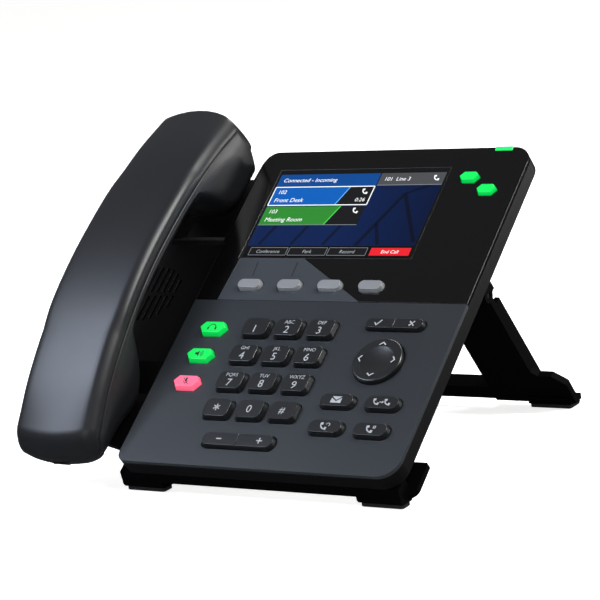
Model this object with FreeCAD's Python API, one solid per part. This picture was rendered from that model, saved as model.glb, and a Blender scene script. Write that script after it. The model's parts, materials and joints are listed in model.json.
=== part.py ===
import FreeCAD, Part
import math
import os

V = FreeCAD.Vector

# ---------------------------------------------------------------- driving dimensions, mm
# Face axes: u to the right, v up the sloping face, w straight out of the face.
# The face's lower left corner is u = v = w = 0.
TILT = 35.5              # slope of the face above the desk, degrees
FACE_LIFT = 17.5         # height of the face's lower front edge above the desk
FACE_W = 151.0           # keypad and display face, width
FACE_L = 193.5           # keypad and display face, length up the slope
KEYPAD_L = 96.8          # length of the keypad plate, up to the display bezel
EDGE_T = 9.5             # depth of the side wall round the face
SKIN_T = 2.0             # thickness of the keypad plate and of the bezel
WALL_T = 2.5             # side wall thickness
CORNER_R = 10.0          # corner radius of the face
TOP_LEFT_R = 7.0         # corner radius beside the cradle
CRADLE_TOP_CUT = (9.0, 6.0)  # bevel that leads the cradle's top edge into that corner
PANEL_GAP = 0.3          # groove between the keypad plate and the bezel

# cradle for the handset, left of the face
CRADLE_W = 57.0
CRADLE_DEPTH = 24.0
CRADLE_FOOT_V = 9.0      # lower end of the cradle
CRADLE_FLOOR = 5.0       # depth of the middle floor below the face
EAR_DEPTH = 20.0         # depth of the recess for the earpiece
EAR_V = 154.0            # where the ear recess reaches full depth
EAR_SLOPE = 18.0         # length of the slope into the ear recess
MOUTH_DEPTH = 12.5       # depth of the recess for the mouthpiece
MOUTH_V = 48.0           # where the mouth recess is deepest
MOUTH_SLOPE = 14.0
MOUTH_END_DEPTH = 9.0    # depth of the mouth recess at its open lower end
SLOPE_RUN = 20.0         # width of the sloping flank beside the face
CAVITY_WALL = 2.5

# speaker grille in the cradle floor
GRILLE_U = -34.0
GRILLE_V = 104.0
GRILLE_R = 17.0
SLIT_W = 1.6
SLIT_PITCH = 3.6
SLIT_COUNT = 9

# rear cover
COVER_T = 2.2
COVER_GAP = 0.2
HUMP_U = 135.0           # right side of the raised back
HUMP_V0 = 62.0           # lower wall of the raised back, which carries the jacks
HUMP_V1 = 186.0
HUMP_DEPTH = 24.0
BOSS_R = 3.2
BOSS_INSET = 5.2
BOSS_V = (48.0, 150.0)
SCREW_R = 1.25
SCREW_HEAD_R = 2.6
SCREW_HEAD_T = 1.6

# display, a 4.3 inch panel
SCREEN_W = 95.04
SCREEN_H = 53.86
SCREEN_U = 14.54
SCREEN_V = 124.2
LENS_SIDE = 1.4
LENS_TOP = 2.9
LENS_BOTTOM = 0.7
LENS_T = 1.2
LENS_RECESS = 0.2
MODULE_T = 3.2
MODULE_BORDER = 3.4
ACCENT_T = 0.8
ACCENT_TOP_U = (14.3, 51.4)
ACCENT_LOW_U = (12.8, 93.2)
LAMP_U = 130.7
LAMP_W = 9.4
LAMP_V = 2.2
LAMP_DEPTH = 6.0

# membrane and circuit board
MEMBRANE_T = 0.6
BOARD_T = 1.6
BOARD_U = (10.0, 141.0)
BOARD_V = (5.0, 188.0)

# keys: cap width, cap length, height above the plate
KEY_GAP = 0.3            # gap round a cap
KEY_TRAVEL = 1.2
FLANGE = 0.8             # retaining flange round the foot of a cap
FLANGE_T = 0.9
STEM_R = 1.6             # stem under a key, which presses the switch sheet
STEM_L = 0.4
KEY_STOP = 0.2           # gap left under a stem when its key is fully in
MEMBRANE_W = -(SKIN_T + PANEL_GAP + FLANGE_T + STEM_L + KEY_TRAVEL + KEY_STOP)
DIAL_CORNER = 2.4
FUNCTION_CORNER = 3.6
SOFT_CORNER = 2.8
SELECT_CORNER = 2.9
VOLUME_CORNER = 3.2
DIAL_U = 44.8
DIAL_V = 31.1
DIAL_PITCH_U = 18.1
DIAL_PITCH_V = 16.0
DIAL_KEY = (15.0, 11.2, 2.8)
DIAL_NAMES = (("star", "0", "hash"), ("7", "8", "9"), ("4", "5", "6"), ("1", "2", "3"))
FUNCTION_KEY = (18.4, 8.2, 2.4)
FUNCTION_AT = (("voicemail", 106.8, 38.6), ("transfer", 130.6, 38.3),
               ("redial", 106.8, 23.8), ("hold", 130.6, 23.4))
MODE_KEY = (15.6, 7.8, 2.2)
MODE_AT = (("headset", 19.8, 78.5), ("speaker", 19.8, 62.2), ("mute", 19.8, 45.8))
SOFT_KEY = (13.4, 6.2, 2.0)
SOFT_AT = (28.2, 51.0, 73.8, 96.6)
SOFT_V = 106.0
LINE_KEY = (10.6, 6.0, 1.6)
LINE_AT = ((123.6, 174.0), (135.6, 166.0))
SELECT_AT = (119.0, 83.3)
SELECT_KEY = (31.0, 6.4, 2.2)
VOLUME_AT = (63.7, 13.9)
VOLUME_KEY = (39.6, 8.0, 2.2)
ROCKER_FLANGE_W = -(SKIN_T + 1.2)
ROCKER_FLANGE_T = 0.8
ROCKER_GAP = 0.45
GROOVE_W = 0.7           # groove across the middle of a rocker
GROOVE_DEPTH = 0.5
NAV_AT = (118.5, 62.0)
NAV_R = 12.4
NAV_H = 2.4
NAV_DISH_R = 34.0
NAV_POST_R = 1.6
NAV_UNDER_W = -(SKIN_T + 0.2)
NAV_PLATE_R = 10.0
NAV_PLATE_W = -(SKIN_T + 1.1)
NAV_PLATE_T = 0.9
NAV_RIM_R = 0.9          # rounding of the disc's rim
NAV_DISH_DEPTH = 1.1

# loudspeaker, hook switch
SPEAKER_R = 20.0
SPEAKER_T = 6.5
SWITCH_U = -32.0
SWITCH_V = 44.0
PLUNGER = (9.0, 5.0)
PLUNGER_TRAVEL = 3.0

# jacks in the lower wall of the raised back: width, height and depth of body and of mouth
JACK_FRONT_V = 62.4
JACK_W = -9.6             # top of the jack bodies
LAN_SIZE = (16.2, 12.0, 21.0)
LAN_HOLE = (11.8, 8.4, 15.0)
LAN_AT = (58.0, 78.0)
CORD_SIZE = (11.4, 10.6, 15.0)
CORD_HOLE = (7.8, 6.6, 11.0)
CORD_AT = (22.0, 38.0)
POWER_AT = 97.0
POWER_SIZE = (9.0, 11.0, 14.0)
POWER_BORE_R = 3.1
POWER_PIN_R = 1.0

# front foot bar
WING_U = (-6.0, 153.0)
WING_V = (2.6, 20.5)
WING_W = (-19.5, -16.5)
WING_R = 5.0
BAR_U = (-3.0, 149.0)
FOOT_W = 23.0
PAD_T = 2.0
PAD_Y = (8.6, 15.6)
BLOCK_U = (24.0, 102.0)
BLOCK_W = 20.0
STAND_SCREW_V = 13.0

# hinged rear legs
PIN_V = 125.2
PIN_W = -28.2
PIN_R = 1.5
PIN_CLEAR = 0.06
KNUCKLE_R = 3.8
LEG_W = 28.0
LEG_U = (7.0, 112.0)
LEG_T = 3.5
LEG_REACH = 90.0
LUG_W = 9.4
LUG_GAP = 0.3
NOTCH = 6.0
RIB_W = 2.5
RIB_H = 4.0
CROSS_D = (68.5, 77.5)
REAR_FOOT_OUT = 16.0
REAR_FOOT_D = 58.5
REAR_PAD_Y = (159.5, 171.0)
REAR_PAD_W = 23.0

# handset
HAND_U = -32.0           # middle plane of the handset
HAND_W = 48.0
HAND_SHELL = 2.2
HAND_EDGE_R = 4.0
HAND_LOW_V = -4.2
HAND_LOW_W = 1.5         # height of the low end's furthest point
HAND_TOP_V = 201.0
HAND_TOP_W = 6.0
HAND_BOW_R = (60.0, 40.0)  # bow of the lower and upper end seen from above
HAND_CORNER_R = 14.0     # rounding where the bowed ends meet the sides
HAND_CHAMFER = 8.0       # bevel along the underside of the earpiece and mouthpiece
HAND_PART = 8.0          # parting line below the outer back
BACK_LINE = ((4.0, 16.8), (22.0, 22.6), (44.0, 29.0), (70.0, 34.1), (95.0, 36.5),
             (118.0, 36.6), (155.0, 34.0), (194.0, 27.6))
EAR_BOTTOM = -14.0
MOUTH_BOTTOM = -9.6
GRIP_W = 17.5
RECEIVER_R = 9.5
RECEIVER_T = 7.0
EAR_CENTRE_V = 180.5     # middle of the earpiece
MIC_R = 4.8
MIC_T = 4.5
MIC_V = 26.0
BALLAST = (20.0, 44.0, 5.0)


# ---------------------------------------------------------------- small helpers
def box(u, v, w):
    """Block between the low and high values given for each face axis."""
    return Part.makeBox(u[1] - u[0], v[1] - v[0], w[1] - w[0], V(u[0], v[0], w[0]))


def rod(u, v, radius, w):
    """Cylinder square to the face."""
    return Part.makeCylinder(radius, w[1] - w[0], V(u, v, w[0]), V(0, 0, 1))


def cross_rod(v, w, radius, u):
    """Cylinder along the u axis."""
    return Part.makeCylinder(radius, u[1] - u[0], V(u[0], v, w), V(1, 0, 0))


def flat_prism(points, w):
    """Polygon of (u, v) points, extruded from w[0] to w[1]."""
    corners = [V(u, v, w[0]) for u, v in points]
    face = Part.Face(Part.makePolygon(corners + corners[:1]))
    return face.extrude(V(0, 0, w[1] - w[0]))


def side_prism(points, u):
    """Polygon of (v, w) points, extruded from u[0] to u[1]."""
    corners = [V(u[0], v, w) for v, w in points]
    face = Part.Face(Part.makePolygon(corners + corners[:1]))
    return face.extrude(V(u[1] - u[0], 0, 0))


def end_prism(points, v):
    """Polygon of (u, w) points, extruded from v[0] to v[1]."""
    corners = [V(u, v[0], w) for u, w in points]
    face = Part.Face(Part.makePolygon(corners + corners[:1]))
    return face.extrude(V(0, v[1] - v[0], 0))


def rounded_wire(u, v, radii, w):
    """Rectangle with its own radius at each corner: low left, low right, high right, high left."""
    low_left, low_right, high_right, high_left = radii
    half = math.sqrt(0.5)
    spec = ((u[0], v[0], low_left, 1, 1), (u[1], v[0], low_right, -1, 1),
            (u[1], v[1], high_right, -1, -1), (u[0], v[1], high_left, 1, -1))
    ends = []
    arcs = []
    for index, (cu, cv, r, su, sv) in enumerate(spec):
        along_u = V(cu + su * r, cv, w)
        along_v = V(cu, cv + sv * r, w)
        middle = V(cu + su * r * (1 - half), cv + sv * r * (1 - half), w)
        first, last = (along_v, along_u) if index % 2 == 0 else (along_u, along_v)
        ends.append((first, last))
        arcs.append(Part.Arc(first, middle, last).toShape() if r > 0 else None)
    edges = []
    for index in range(4):
        if arcs[index] is not None:
            edges.append(arcs[index])
        start = ends[index][1]
        stop = ends[(index + 1) % 4][0]
        edges.append(Part.LineSegment(start, stop).toShape())
    return Part.Wire(edges)


def rounded_block(u, v, radii, w):
    """Block with rounded upright corners."""
    return Part.Face(rounded_wire(u, v, radii, w[0])).extrude(V(0, 0, w[1] - w[0]))


def fuse_all(shapes):
    """One solid from several that touch or overlap."""
    result = shapes[0].multiFuse(shapes[1:]) if len(shapes) > 1 else shapes[0]
    return result.removeSplitter()


def on_desk(shape):
    """Turn a shape from the face axes to the desk: tilt it and lift it."""
    turned = shape.copy()
    turned.rotate(V(0, 0, 0), V(1, 0, 0), TILT)
    turned.translate(V(0, 0, FACE_LIFT))
    return turned


def desk_point(u, v, w):
    """Where a point of the face axes stands over the desk."""
    angle = math.radians(TILT)
    return (u, v * math.cos(angle) - w * math.sin(angle),
            v * math.sin(angle) + w * math.cos(angle) + FACE_LIFT)


# ---------------------------------------------------------------- face
def dial_centres():
    """Name and centre of each dial key, lower row first."""
    centres = []
    for row, names in enumerate(DIAL_NAMES):
        for column, name in enumerate(names):
            centres.append((name, DIAL_U + column * DIAL_PITCH_U, DIAL_V + row * DIAL_PITCH_V))
    return centres


def hexagon(centre_u, centre_v, width, length):
    """Long hexagon with a point at each end."""
    half_w = width / 2
    half_l = length / 2
    shoulder = half_w - half_l * 0.72
    return [(centre_u - half_w, centre_v), (centre_u - shoulder, centre_v - half_l),
            (centre_u + shoulder, centre_v - half_l), (centre_u + half_w, centre_v),
            (centre_u + shoulder, centre_v + half_l), (centre_u - shoulder, centre_v + half_l)]


def pill(centre_u, centre_v, width, length, corner, w):
    """Rounded key outline extruded between two heights."""
    return rounded_block((centre_u - width / 2, centre_u + width / 2),
                         (centre_v - length / 2, centre_v + length / 2), (corner,) * 4, w)


def grown(size, gap):
    """Width and length grown by a gap on every side."""
    return size[0] + 2 * gap, size[1] + 2 * gap


def keypad_plate():
    """Grey plate with a hole for every key below the display."""
    plate = rounded_block((0, FACE_W), (0, KEYPAD_L), (5.0, CORNER_R, 0, 0), (-SKIN_T, 0))
    cut = (-SKIN_T - 1, 1)
    holes = []
    for _, u, v in dial_centres():
        holes.append(pill(u, v, *grown(DIAL_KEY, KEY_GAP), DIAL_CORNER + KEY_GAP, cut))
    for _, u, v in FUNCTION_AT:
        holes.append(pill(u, v, *grown(FUNCTION_KEY, KEY_GAP), FUNCTION_CORNER + KEY_GAP, cut))
    for _, u, v in MODE_AT:
        holes.append(flat_prism(hexagon(u, v, *grown(MODE_KEY, KEY_GAP + 0.1)), cut))
    holes.append(pill(*SELECT_AT, *grown(SELECT_KEY, ROCKER_GAP), SELECT_CORNER + ROCKER_GAP, cut))
    holes.append(pill(*VOLUME_AT, *grown(VOLUME_KEY, ROCKER_GAP), VOLUME_CORNER + ROCKER_GAP, cut))
    holes.append(rod(*NAV_AT, NAV_R + ROCKER_GAP, cut))
    return plate.cut(holes[0].multiFuse(holes[1:]))


def lens_box(grow, w):
    """Block over the display window, grown on each side."""
    u = (SCREEN_U - LENS_SIDE - grow, SCREEN_U + SCREEN_W + LENS_SIDE + grow)
    v = (SCREEN_V - LENS_BOTTOM - grow, SCREEN_V + SCREEN_H + LENS_TOP + grow)
    return box(u, v, w)


def accent_points(top_gap):
    """Outline of the grey accent under the display."""
    top = SCREEN_V - LENS_BOTTOM - top_gap
    low = KEYPAD_L + PANEL_GAP
    return [(ACCENT_LOW_U[0], low), (ACCENT_LOW_U[1], low),
            (ACCENT_TOP_U[1], top), (ACCENT_TOP_U[0], top)]


def soft_holes(w):
    """Cutters for the four keys under the display."""
    return [pill(u, SOFT_V, *grown(SOFT_KEY, KEY_GAP), SOFT_CORNER + KEY_GAP, w) for u in SOFT_AT]


def lamp_block(w, back):
    """Block for the message lamp at the top edge, reaching back by the length given."""
    return box((LAMP_U, LAMP_U + LAMP_W), (FACE_L - back, FACE_L + 0.3), w)


def display_bezel():
    """Gloss black plate round the display."""
    plate = rounded_block((0, FACE_W), (KEYPAD_L + PANEL_GAP, FACE_L),
                          (0, 0, CORNER_R, TOP_LEFT_R), (-SKIN_T, 0))
    cut = (-SKIN_T - 1, 1)
    tools = [lens_box(0, cut), flat_prism(accent_points(0), (-ACCENT_T, 1)), lamp_block(cut, LAMP_V)]
    tools += soft_holes(cut)
    for u, v in LINE_AT:
        tools.append(flat_prism(hexagon(u, v, *grown(LINE_KEY, KEY_GAP + 0.1)), cut))
    for tool in tools:
        plate = plate.cut(tool)
    return plate


def accent_panel():
    """Grey accent let into the bezel, round the first three keys under the display."""
    panel = flat_prism(accent_points(0.1), (-ACCENT_T, 0))
    for hole in soft_holes((-SKIN_T, 1)):
        panel = panel.cut(hole)
    return panel


def screen_lens():
    """Clear window of the display."""
    return lens_box(-0.05, (-LENS_RECESS - LENS_T, -LENS_RECESS))


def lcd_module():
    """Framed display panel behind the window."""
    u = (SCREEN_U - MODULE_BORDER, SCREEN_U + SCREEN_W + MODULE_BORDER)
    v = (SCREEN_V - MODULE_BORDER, SCREEN_V + SCREEN_H + MODULE_BORDER)
    frame = box(u, v, (-SKIN_T - 0.1 - MODULE_T + 0.4, -SKIN_T - 0.1))
    picture = box((SCREEN_U, SCREEN_U + SCREEN_W), (SCREEN_V, SCREEN_V + SCREEN_H),
                  (-SKIN_T - 0.4, 0))
    return frame.cut(picture)


def message_lamp():
    """Light pipe in the top edge."""
    return lamp_block((-LAMP_DEPTH, 0.3), LAMP_V - 0.1)


# ---------------------------------------------------------------- keys
def pill_outline(u, v, corner):
    """Maker of rounded outlines about one centre, for a width, a length and a height."""
    def wire(width, length, w):
        radius = min(corner, length / 2 - 0.2)
        return rounded_wire((u - width / 2, u + width / 2), (v - length / 2, v + length / 2),
                            (radius,) * 4, w)
    return wire


def hexagon_outline(u, v):
    """Maker of long hexagonal outlines about one centre, for a width, a length and a height."""
    def wire(width, length, w):
        corners = [V(pu, pv, w) for pu, pv in hexagon(u, v, width, length)]
        return Part.makePolygon(corners + corners[:1])
    return wire


def flanged_cap(u, v, make_wire, size, top_inset, flange_w, flange_t):
    """Cap that narrows to its top, on a straight foot with a retaining flange."""
    low = make_wire(size[0], size[1], 0)
    high = make_wire(size[0] - 2 * top_inset, size[1] - 2 * top_inset, size[2])
    skirt = Part.makeLoft([low, high], True, True)
    foot = Part.Face(make_wire(size[0], size[1], flange_w)).extrude(V(0, 0, -flange_w))
    flange = box((u - size[0] / 2 - FLANGE, u + size[0] / 2 + FLANGE),
                 (v - size[1] / 2 - FLANGE, v + size[1] / 2 + FLANGE), (flange_w - flange_t, flange_w))
    return [skirt, foot, flange]


def press_key(u, v, make_wire, size, top_inset):
    """Key that slides straight in, with a stem on its underside."""
    top = -SKIN_T - PANEL_GAP
    stem = rod(u, v, STEM_R, (top - FLANGE_T - STEM_L, top - FLANGE_T))
    return fuse_all(flanged_cap(u, v, make_wire, size, top_inset, top, FLANGE_T) + [stem])


def rocker_key(u, v, size, corner, top_inset):
    """Two-way key that tips about its middle, with a groove between its halves."""
    outline = pill_outline(u, v, corner)
    cap = fuse_all(flanged_cap(u, v, outline, size, top_inset, ROCKER_FLANGE_W, ROCKER_FLANGE_T))
    groove = box((u - GROOVE_W / 2, u + GROOVE_W / 2), (v - size[1], v + size[1]),
                 (size[2] - GROOVE_DEPTH, size[2] + 1))
    return cap.cut(groove)


def navigation_pad():
    """Dished disc that tips four ways on a short post."""
    u, v = NAV_AT
    disc = rod(u, v, NAV_R, (NAV_UNDER_W, NAV_H))
    rim = [edge for edge in disc.Edges if abs(edge.BoundBox.ZMin - NAV_H) < 1e-6
           and edge.BoundBox.ZLength < 1e-6]
    disc = disc.makeFillet(NAV_RIM_R, rim)
    dish = Part.makeSphere(NAV_DISH_R, V(u, v, NAV_H - NAV_DISH_DEPTH + NAV_DISH_R))
    post = rod(u, v, NAV_POST_R, (NAV_PLATE_W + 0.15, NAV_UNDER_W))
    return fuse_all([disc.cut(dish), post])


def navigation_plate():
    """Actuator plate under the disc, which tips about the u axis."""
    return rod(*NAV_AT, NAV_PLATE_R, (NAV_PLATE_W - NAV_PLATE_T, NAV_PLATE_W))


# ---------------------------------------------------------------- body
def cradle_floor(depth_offset):
    """Cradle floor seen from the side, as (v, w) points, lowered by an offset."""
    return [(CRADLE_FOOT_V - 30.0, -MOUTH_END_DEPTH - depth_offset),
            (CRADLE_FOOT_V, -MOUTH_END_DEPTH - depth_offset),
            (MOUTH_V, -MOUTH_DEPTH - depth_offset),
            (MOUTH_V + MOUTH_SLOPE, -CRADLE_FLOOR - depth_offset),
            (EAR_V - EAR_SLOPE, -CRADLE_FLOOR - depth_offset),
            (EAR_V, -EAR_DEPTH - depth_offset),
            (FACE_L + 30.0, -EAR_DEPTH - depth_offset)]


def cradle_flanks(depth_offset):
    """Cradle cross-section as (u, w) points, lowered by an offset."""
    far = 2 * HAND_U
    return [(3.0, 3.0 - depth_offset), (-SLOPE_RUN, -SLOPE_RUN - depth_offset),
            (far + SLOPE_RUN, -SLOPE_RUN - depth_offset), (far - 3.0, 3.0 - depth_offset)]


def cradle_block():
    """Cradle with its hollow top and the cavity below its floor."""
    side = [(CRADLE_FOOT_V, -0.2), (CRADLE_FOOT_V, -10.5), (24.0, -15.5), (28.0, -CRADLE_DEPTH),
            (FACE_L, -CRADLE_DEPTH), (FACE_L, -0.2)]
    plan = [(2.0, CRADLE_FOOT_V - 0.5), (0.0, CRADLE_FOOT_V), (-12.0, 14.0), (-42.0, 22.0),
            (-CRADLE_W, 38.0), (-CRADLE_W, FACE_L - 8.0), (-CRADLE_W + 8.0, FACE_L),
            (-CRADLE_TOP_CUT[0], FACE_L), (0.0, FACE_L - CRADLE_TOP_CUT[1]),
            (2.0, FACE_L - CRADLE_TOP_CUT[1])]
    block = side_prism(side, (-CRADLE_W, 0)).common(flat_prism(plan, (-CRADLE_DEPTH, 0)))
    hollow_side = side_prism(cradle_floor(0) + [(FACE_L + 30.0, 20.0), (CRADLE_FOOT_V - 30.0, 20.0)],
                             (-CRADLE_W - 10, 0))
    hollow_end = end_prism(cradle_flanks(0), (-40.0, FACE_L + 40.0))
    block = block.cut(hollow_side.common(hollow_end))
    below_floor = side_prism([(36.0, -CRADLE_DEPTH - 1)] + [(36.0, -MOUTH_DEPTH - CAVITY_WALL),
                             (MOUTH_V, -MOUTH_DEPTH - CAVITY_WALL),
                             (MOUTH_V + MOUTH_SLOPE, -CRADLE_FLOOR - CAVITY_WALL),
                             (EAR_V - EAR_SLOPE - 3.0, -CRADLE_FLOOR - CAVITY_WALL),
                             (EAR_V - 10.0, -16.5), (EAR_V - 10.0, -CRADLE_DEPTH - 1)],
                             (-CRADLE_W + WALL_T, 0.1))
    corner = flat_prism([(-CRADLE_W, 30.0), (-38.0, 30.0), (-CRADLE_W, 46.0)],
                        (-CRADLE_DEPTH - 1, 0))
    return block.cut(below_floor.cut(corner))


def grille_slits():
    """Slots of the speaker grille, within a circle."""
    slits = []
    first = -(SLIT_COUNT - 1) / 2
    for index in range(SLIT_COUNT):
        offset = (first + index) * SLIT_PITCH
        reach = math.sqrt(GRILLE_R ** 2 - offset ** 2)
        u = GRILLE_U + offset
        for v in ((GRILLE_V - reach, GRILLE_V - 1.2), (GRILLE_V + 1.2, GRILLE_V + reach)):
            slits.append(box((u - SLIT_W / 2, u + SLIT_W / 2), v, (-12.0, 0)))
    return slits


def main_housing():
    """Side wall round the face, with the handset cradle on its left."""
    outer = rounded_block((0, FACE_W), (0, FACE_L), (5.0, CORNER_R, CORNER_R, TOP_LEFT_R),
                          (-EDGE_T, -SKIN_T))
    inner = rounded_block((WALL_T, FACE_W - WALL_T), (WALL_T, FACE_L - WALL_T),
                          (2.5, CORNER_R - WALL_T, CORNER_R - WALL_T, TOP_LEFT_R - WALL_T),
                          (-EDGE_T - 1, 0))
    ring = outer.cut(inner)
    bosses = []
    for u in (BOSS_INSET, FACE_W - BOSS_INSET):
        for v in BOSS_V:
            bosses.append(rod(u, v, BOSS_R, (-EDGE_T + COVER_T, -SKIN_T)))
    body = fuse_all([ring, cradle_block()] + bosses)
    tools = [lamp_block((-LAMP_DEPTH, 0), WALL_T)]
    for u in (BOSS_INSET, FACE_W - BOSS_INSET):
        for v in BOSS_V:
            tools.append(rod(u, v, SCREW_R, (-EDGE_T, -SKIN_T - 1.0)))
    tools += grille_slits()
    half_u = PLUNGER[0] / 2 + 0.3
    half_v = PLUNGER[1] / 2 + 0.3
    tools.append(box((SWITCH_U - half_u, SWITCH_U + half_u),
                     (SWITCH_V - half_v, SWITCH_V + half_v), (-20.0, 0)))
    return body.cut(tools[0].multiFuse(tools[1:]))


def jack_spots():
    """Centre u and outer width and height of each jack body."""
    spots = [(u, LAN_SIZE) for u in LAN_AT]
    spots += [(u, CORD_SIZE) for u in CORD_AT]
    spots.append((POWER_AT, POWER_SIZE))
    return spots


def hinge_lug(u):
    """Lug on the raised back that holds one leg pin."""
    block = box((u, u + LUG_W), (PIN_V - KNUCKLE_R, PIN_V + KNUCKLE_R), (PIN_W, -HUMP_DEPTH))
    eye = cross_rod(PIN_V, PIN_W, KNUCKLE_R, (u, u + LUG_W))
    return fuse_all([block, eye])


def lug_starts():
    """Left face of each hinge lug, in the middle of its leg."""
    return [u + (LEG_W - LUG_W) / 2 for u in LEG_U]


def rear_housing():
    """Rear cover with its raised back, jack wall and hinge lugs."""
    inset = WALL_T + COVER_GAP
    cover = rounded_block((inset, FACE_W - inset), (inset, FACE_L - inset),
                          (2.3, CORNER_R - inset, CORNER_R - inset, TOP_LEFT_R - inset),
                          (-EDGE_T, -EDGE_T + COVER_T))
    hump = box((0.2, HUMP_U), (HUMP_V0, HUMP_V1), (-HUMP_DEPTH, -EDGE_T))
    under = flat_prism([(0.2, 40.5), (-35.0, 40.5), (-CRADLE_W + WALL_T + 0.2, 56.0),
                        (-CRADLE_W + WALL_T + 0.2, EAR_V - 10.2), (0.2, EAR_V - 10.2)],
                       (-HUMP_DEPTH, -HUMP_DEPTH + COVER_T))
    tray = box((0.2, COVER_T + 0.2), (40.5, HUMP_V0 + COVER_T), (-HUMP_DEPTH, -EDGE_T))
    room = box((COVER_T + 0.2, HUMP_U - COVER_T), (HUMP_V0 + COVER_T, HUMP_V1 - COVER_T),
               (-HUMP_DEPTH + COVER_T, 0))
    passage = box((-1.0, COVER_T + 1.0), (HUMP_V0 + COVER_T + 4.0, EAR_V - 12.0),
                  (-HUMP_DEPTH + COVER_T, -EDGE_T - 1.5))
    body = fuse_all([cover, hump, under, tray] + [hinge_lug(u) for u in lug_starts()])
    body = body.cut(room).cut(passage)
    for u, size in jack_spots():
        body = body.cut(box((u - size[0] / 2, u + size[0] / 2), (HUMP_V0 - 1, HUMP_V0 + COVER_T + 1),
                            (JACK_W - size[1], JACK_W)).common(
                        box((0, HUMP_U), (0, HUMP_V1), (-HUMP_DEPTH, -EDGE_T))))
    for u in LEG_U:
        body = body.cut(cross_rod(PIN_V, PIN_W, PIN_R, (u - 1, u + LEG_W + 1)))
    for u in (BOSS_INSET, FACE_W - BOSS_INSET):
        for v in BOSS_V:
            body = body.cut(rod(u, v, SCREW_R + 0.3, (-EDGE_T - 1, 0)))
    for u in BLOCK_U:
        body = body.cut(rod(u + BLOCK_W / 2, STAND_SCREW_V, SCREW_R, (-EDGE_T - 1, 0)))
    return body


def screws():
    """Screws that hold the rear cover."""
    group = []
    for u in (BOSS_INSET, FACE_W - BOSS_INSET):
        for v in BOSS_V:
            shank = rod(u, v, SCREW_R, (-EDGE_T, -SKIN_T - 1.2))
            head = rod(u, v, SCREW_HEAD_R, (-EDGE_T - SCREW_HEAD_T, -EDGE_T))
            slot = box((u - 1.8, u + 1.8), (v - 0.35, v + 0.35), (-EDGE_T - SCREW_HEAD_T, -EDGE_T - 0.8))
            group.append(fuse_all([shank, head]).cut(slot))
    return Part.Compound(group)


def membrane():
    """Rubber switch sheet under the keys."""
    outline = [(BOARD_U[0] + 1, 6.0), (BOARD_U[1] - 0.4, 6.0), (BOARD_U[1] - 0.4, 180.0),
               (116.0, 180.0), (116.0, 112.0), (BOARD_U[0] + 1, 112.0)]
    return flat_prism(outline, (MEMBRANE_W - MEMBRANE_T, MEMBRANE_W))


def main_board():
    """Circuit board behind the switch sheet and the display."""
    top = MEMBRANE_W - MEMBRANE_T
    return box(BOARD_U, BOARD_V, (top - BOARD_T, top))


def loudspeaker():
    """Round loudspeaker under the grille."""
    top = -CRADLE_FLOOR - CAVITY_WALL - 0.1
    basket = rod(GRILLE_U, GRILLE_V, SPEAKER_R - 2.0, (top - SPEAKER_T + 1.8, top))
    flange = rod(GRILLE_U, GRILLE_V, SPEAKER_R, (top - 1.4, top))
    magnet = rod(GRILLE_U, GRILLE_V, 11.0, (top - SPEAKER_T, top - SPEAKER_T + 1.8))
    cone = rod(GRILLE_U, GRILLE_V, SPEAKER_R - 3.0, (top - 0.8, top))
    return fuse_all([basket, flange, magnet]).cut(cone)


def plunger_top():
    """Height of the hook plunger's top with the handset at rest."""
    return -MOUTH_DEPTH + 0.9


def hook_plunger():
    """Plunger that the mouthpiece holds down."""
    half_u = PLUNGER[0] / 2
    half_v = PLUNGER[1] / 2
    stem = box((SWITCH_U - half_u, SWITCH_U + half_u), (SWITCH_V - half_v, SWITCH_V + half_v),
               (-18.4, plunger_top()))
    rim = [edge for edge in stem.Edges if edge.BoundBox.ZMin > plunger_top() - 1e-6]
    stem = stem.makeFillet(0.6, rim)
    flange_top = -MOUTH_DEPTH - CAVITY_WALL - PLUNGER_TRAVEL - 0.4
    flange = box((SWITCH_U - half_u - 1.5, SWITCH_U + half_u + 1.5),
                 (SWITCH_V - half_v - 0.4, SWITCH_V + half_v + 1.5), (-19.2, flange_top))
    return fuse_all([stem, flange])


def hook_switch():
    """Small switch under the plunger."""
    return box((SWITCH_U - 5.0, SWITCH_U + 5.0), (SWITCH_V - 1.5, SWITCH_V + 5.0),
               (-HUMP_DEPTH + COVER_T, -19.5))


# ---------------------------------------------------------------- jacks
def socket(u, size, hole):
    """Jack body with its mouth in the lower wall, open towards -v."""
    body = box((u - size[0] / 2, u + size[0] / 2), (JACK_FRONT_V, JACK_FRONT_V + size[2]),
               (JACK_W - size[1], JACK_W))
    middle = JACK_W - size[1] / 2
    mouth = box((u - hole[0] / 2, u + hole[0] / 2), (JACK_FRONT_V - 1, JACK_FRONT_V + hole[2]),
                (middle - hole[1] / 2 - 0.6, middle + hole[1] / 2 - 0.6))
    latch = box((u - 3.0, u + 3.0), (JACK_FRONT_V - 1, JACK_FRONT_V + hole[2] * 0.6),
                (middle + hole[1] / 2 - 0.7, middle + hole[1] / 2 + 0.8))
    return body.cut(mouth).cut(latch)


def network_jacks():
    """Two network sockets."""
    return Part.Compound([socket(u, LAN_SIZE, LAN_HOLE) for u in LAN_AT])


def cord_jacks():
    """Handset and headset sockets."""
    return Part.Compound([socket(u, CORD_SIZE, CORD_HOLE) for u in CORD_AT])


def power_jack():
    """Barrel power inlet with its centre pin."""
    size = POWER_SIZE
    middle = JACK_W - size[1] / 2
    body = box((POWER_AT - size[0] / 2, POWER_AT + size[0] / 2),
               (JACK_FRONT_V, JACK_FRONT_V + size[2]), (JACK_W - size[1], JACK_W))
    bore = Part.makeCylinder(POWER_BORE_R, 10.0, V(POWER_AT, JACK_FRONT_V - 1, middle), V(0, 1, 0))
    pin = Part.makeCylinder(POWER_PIN_R, 8.2, V(POWER_AT, JACK_FRONT_V + 1, middle), V(0, 1, 0))
    return fuse_all([body.cut(bore), pin])


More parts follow.
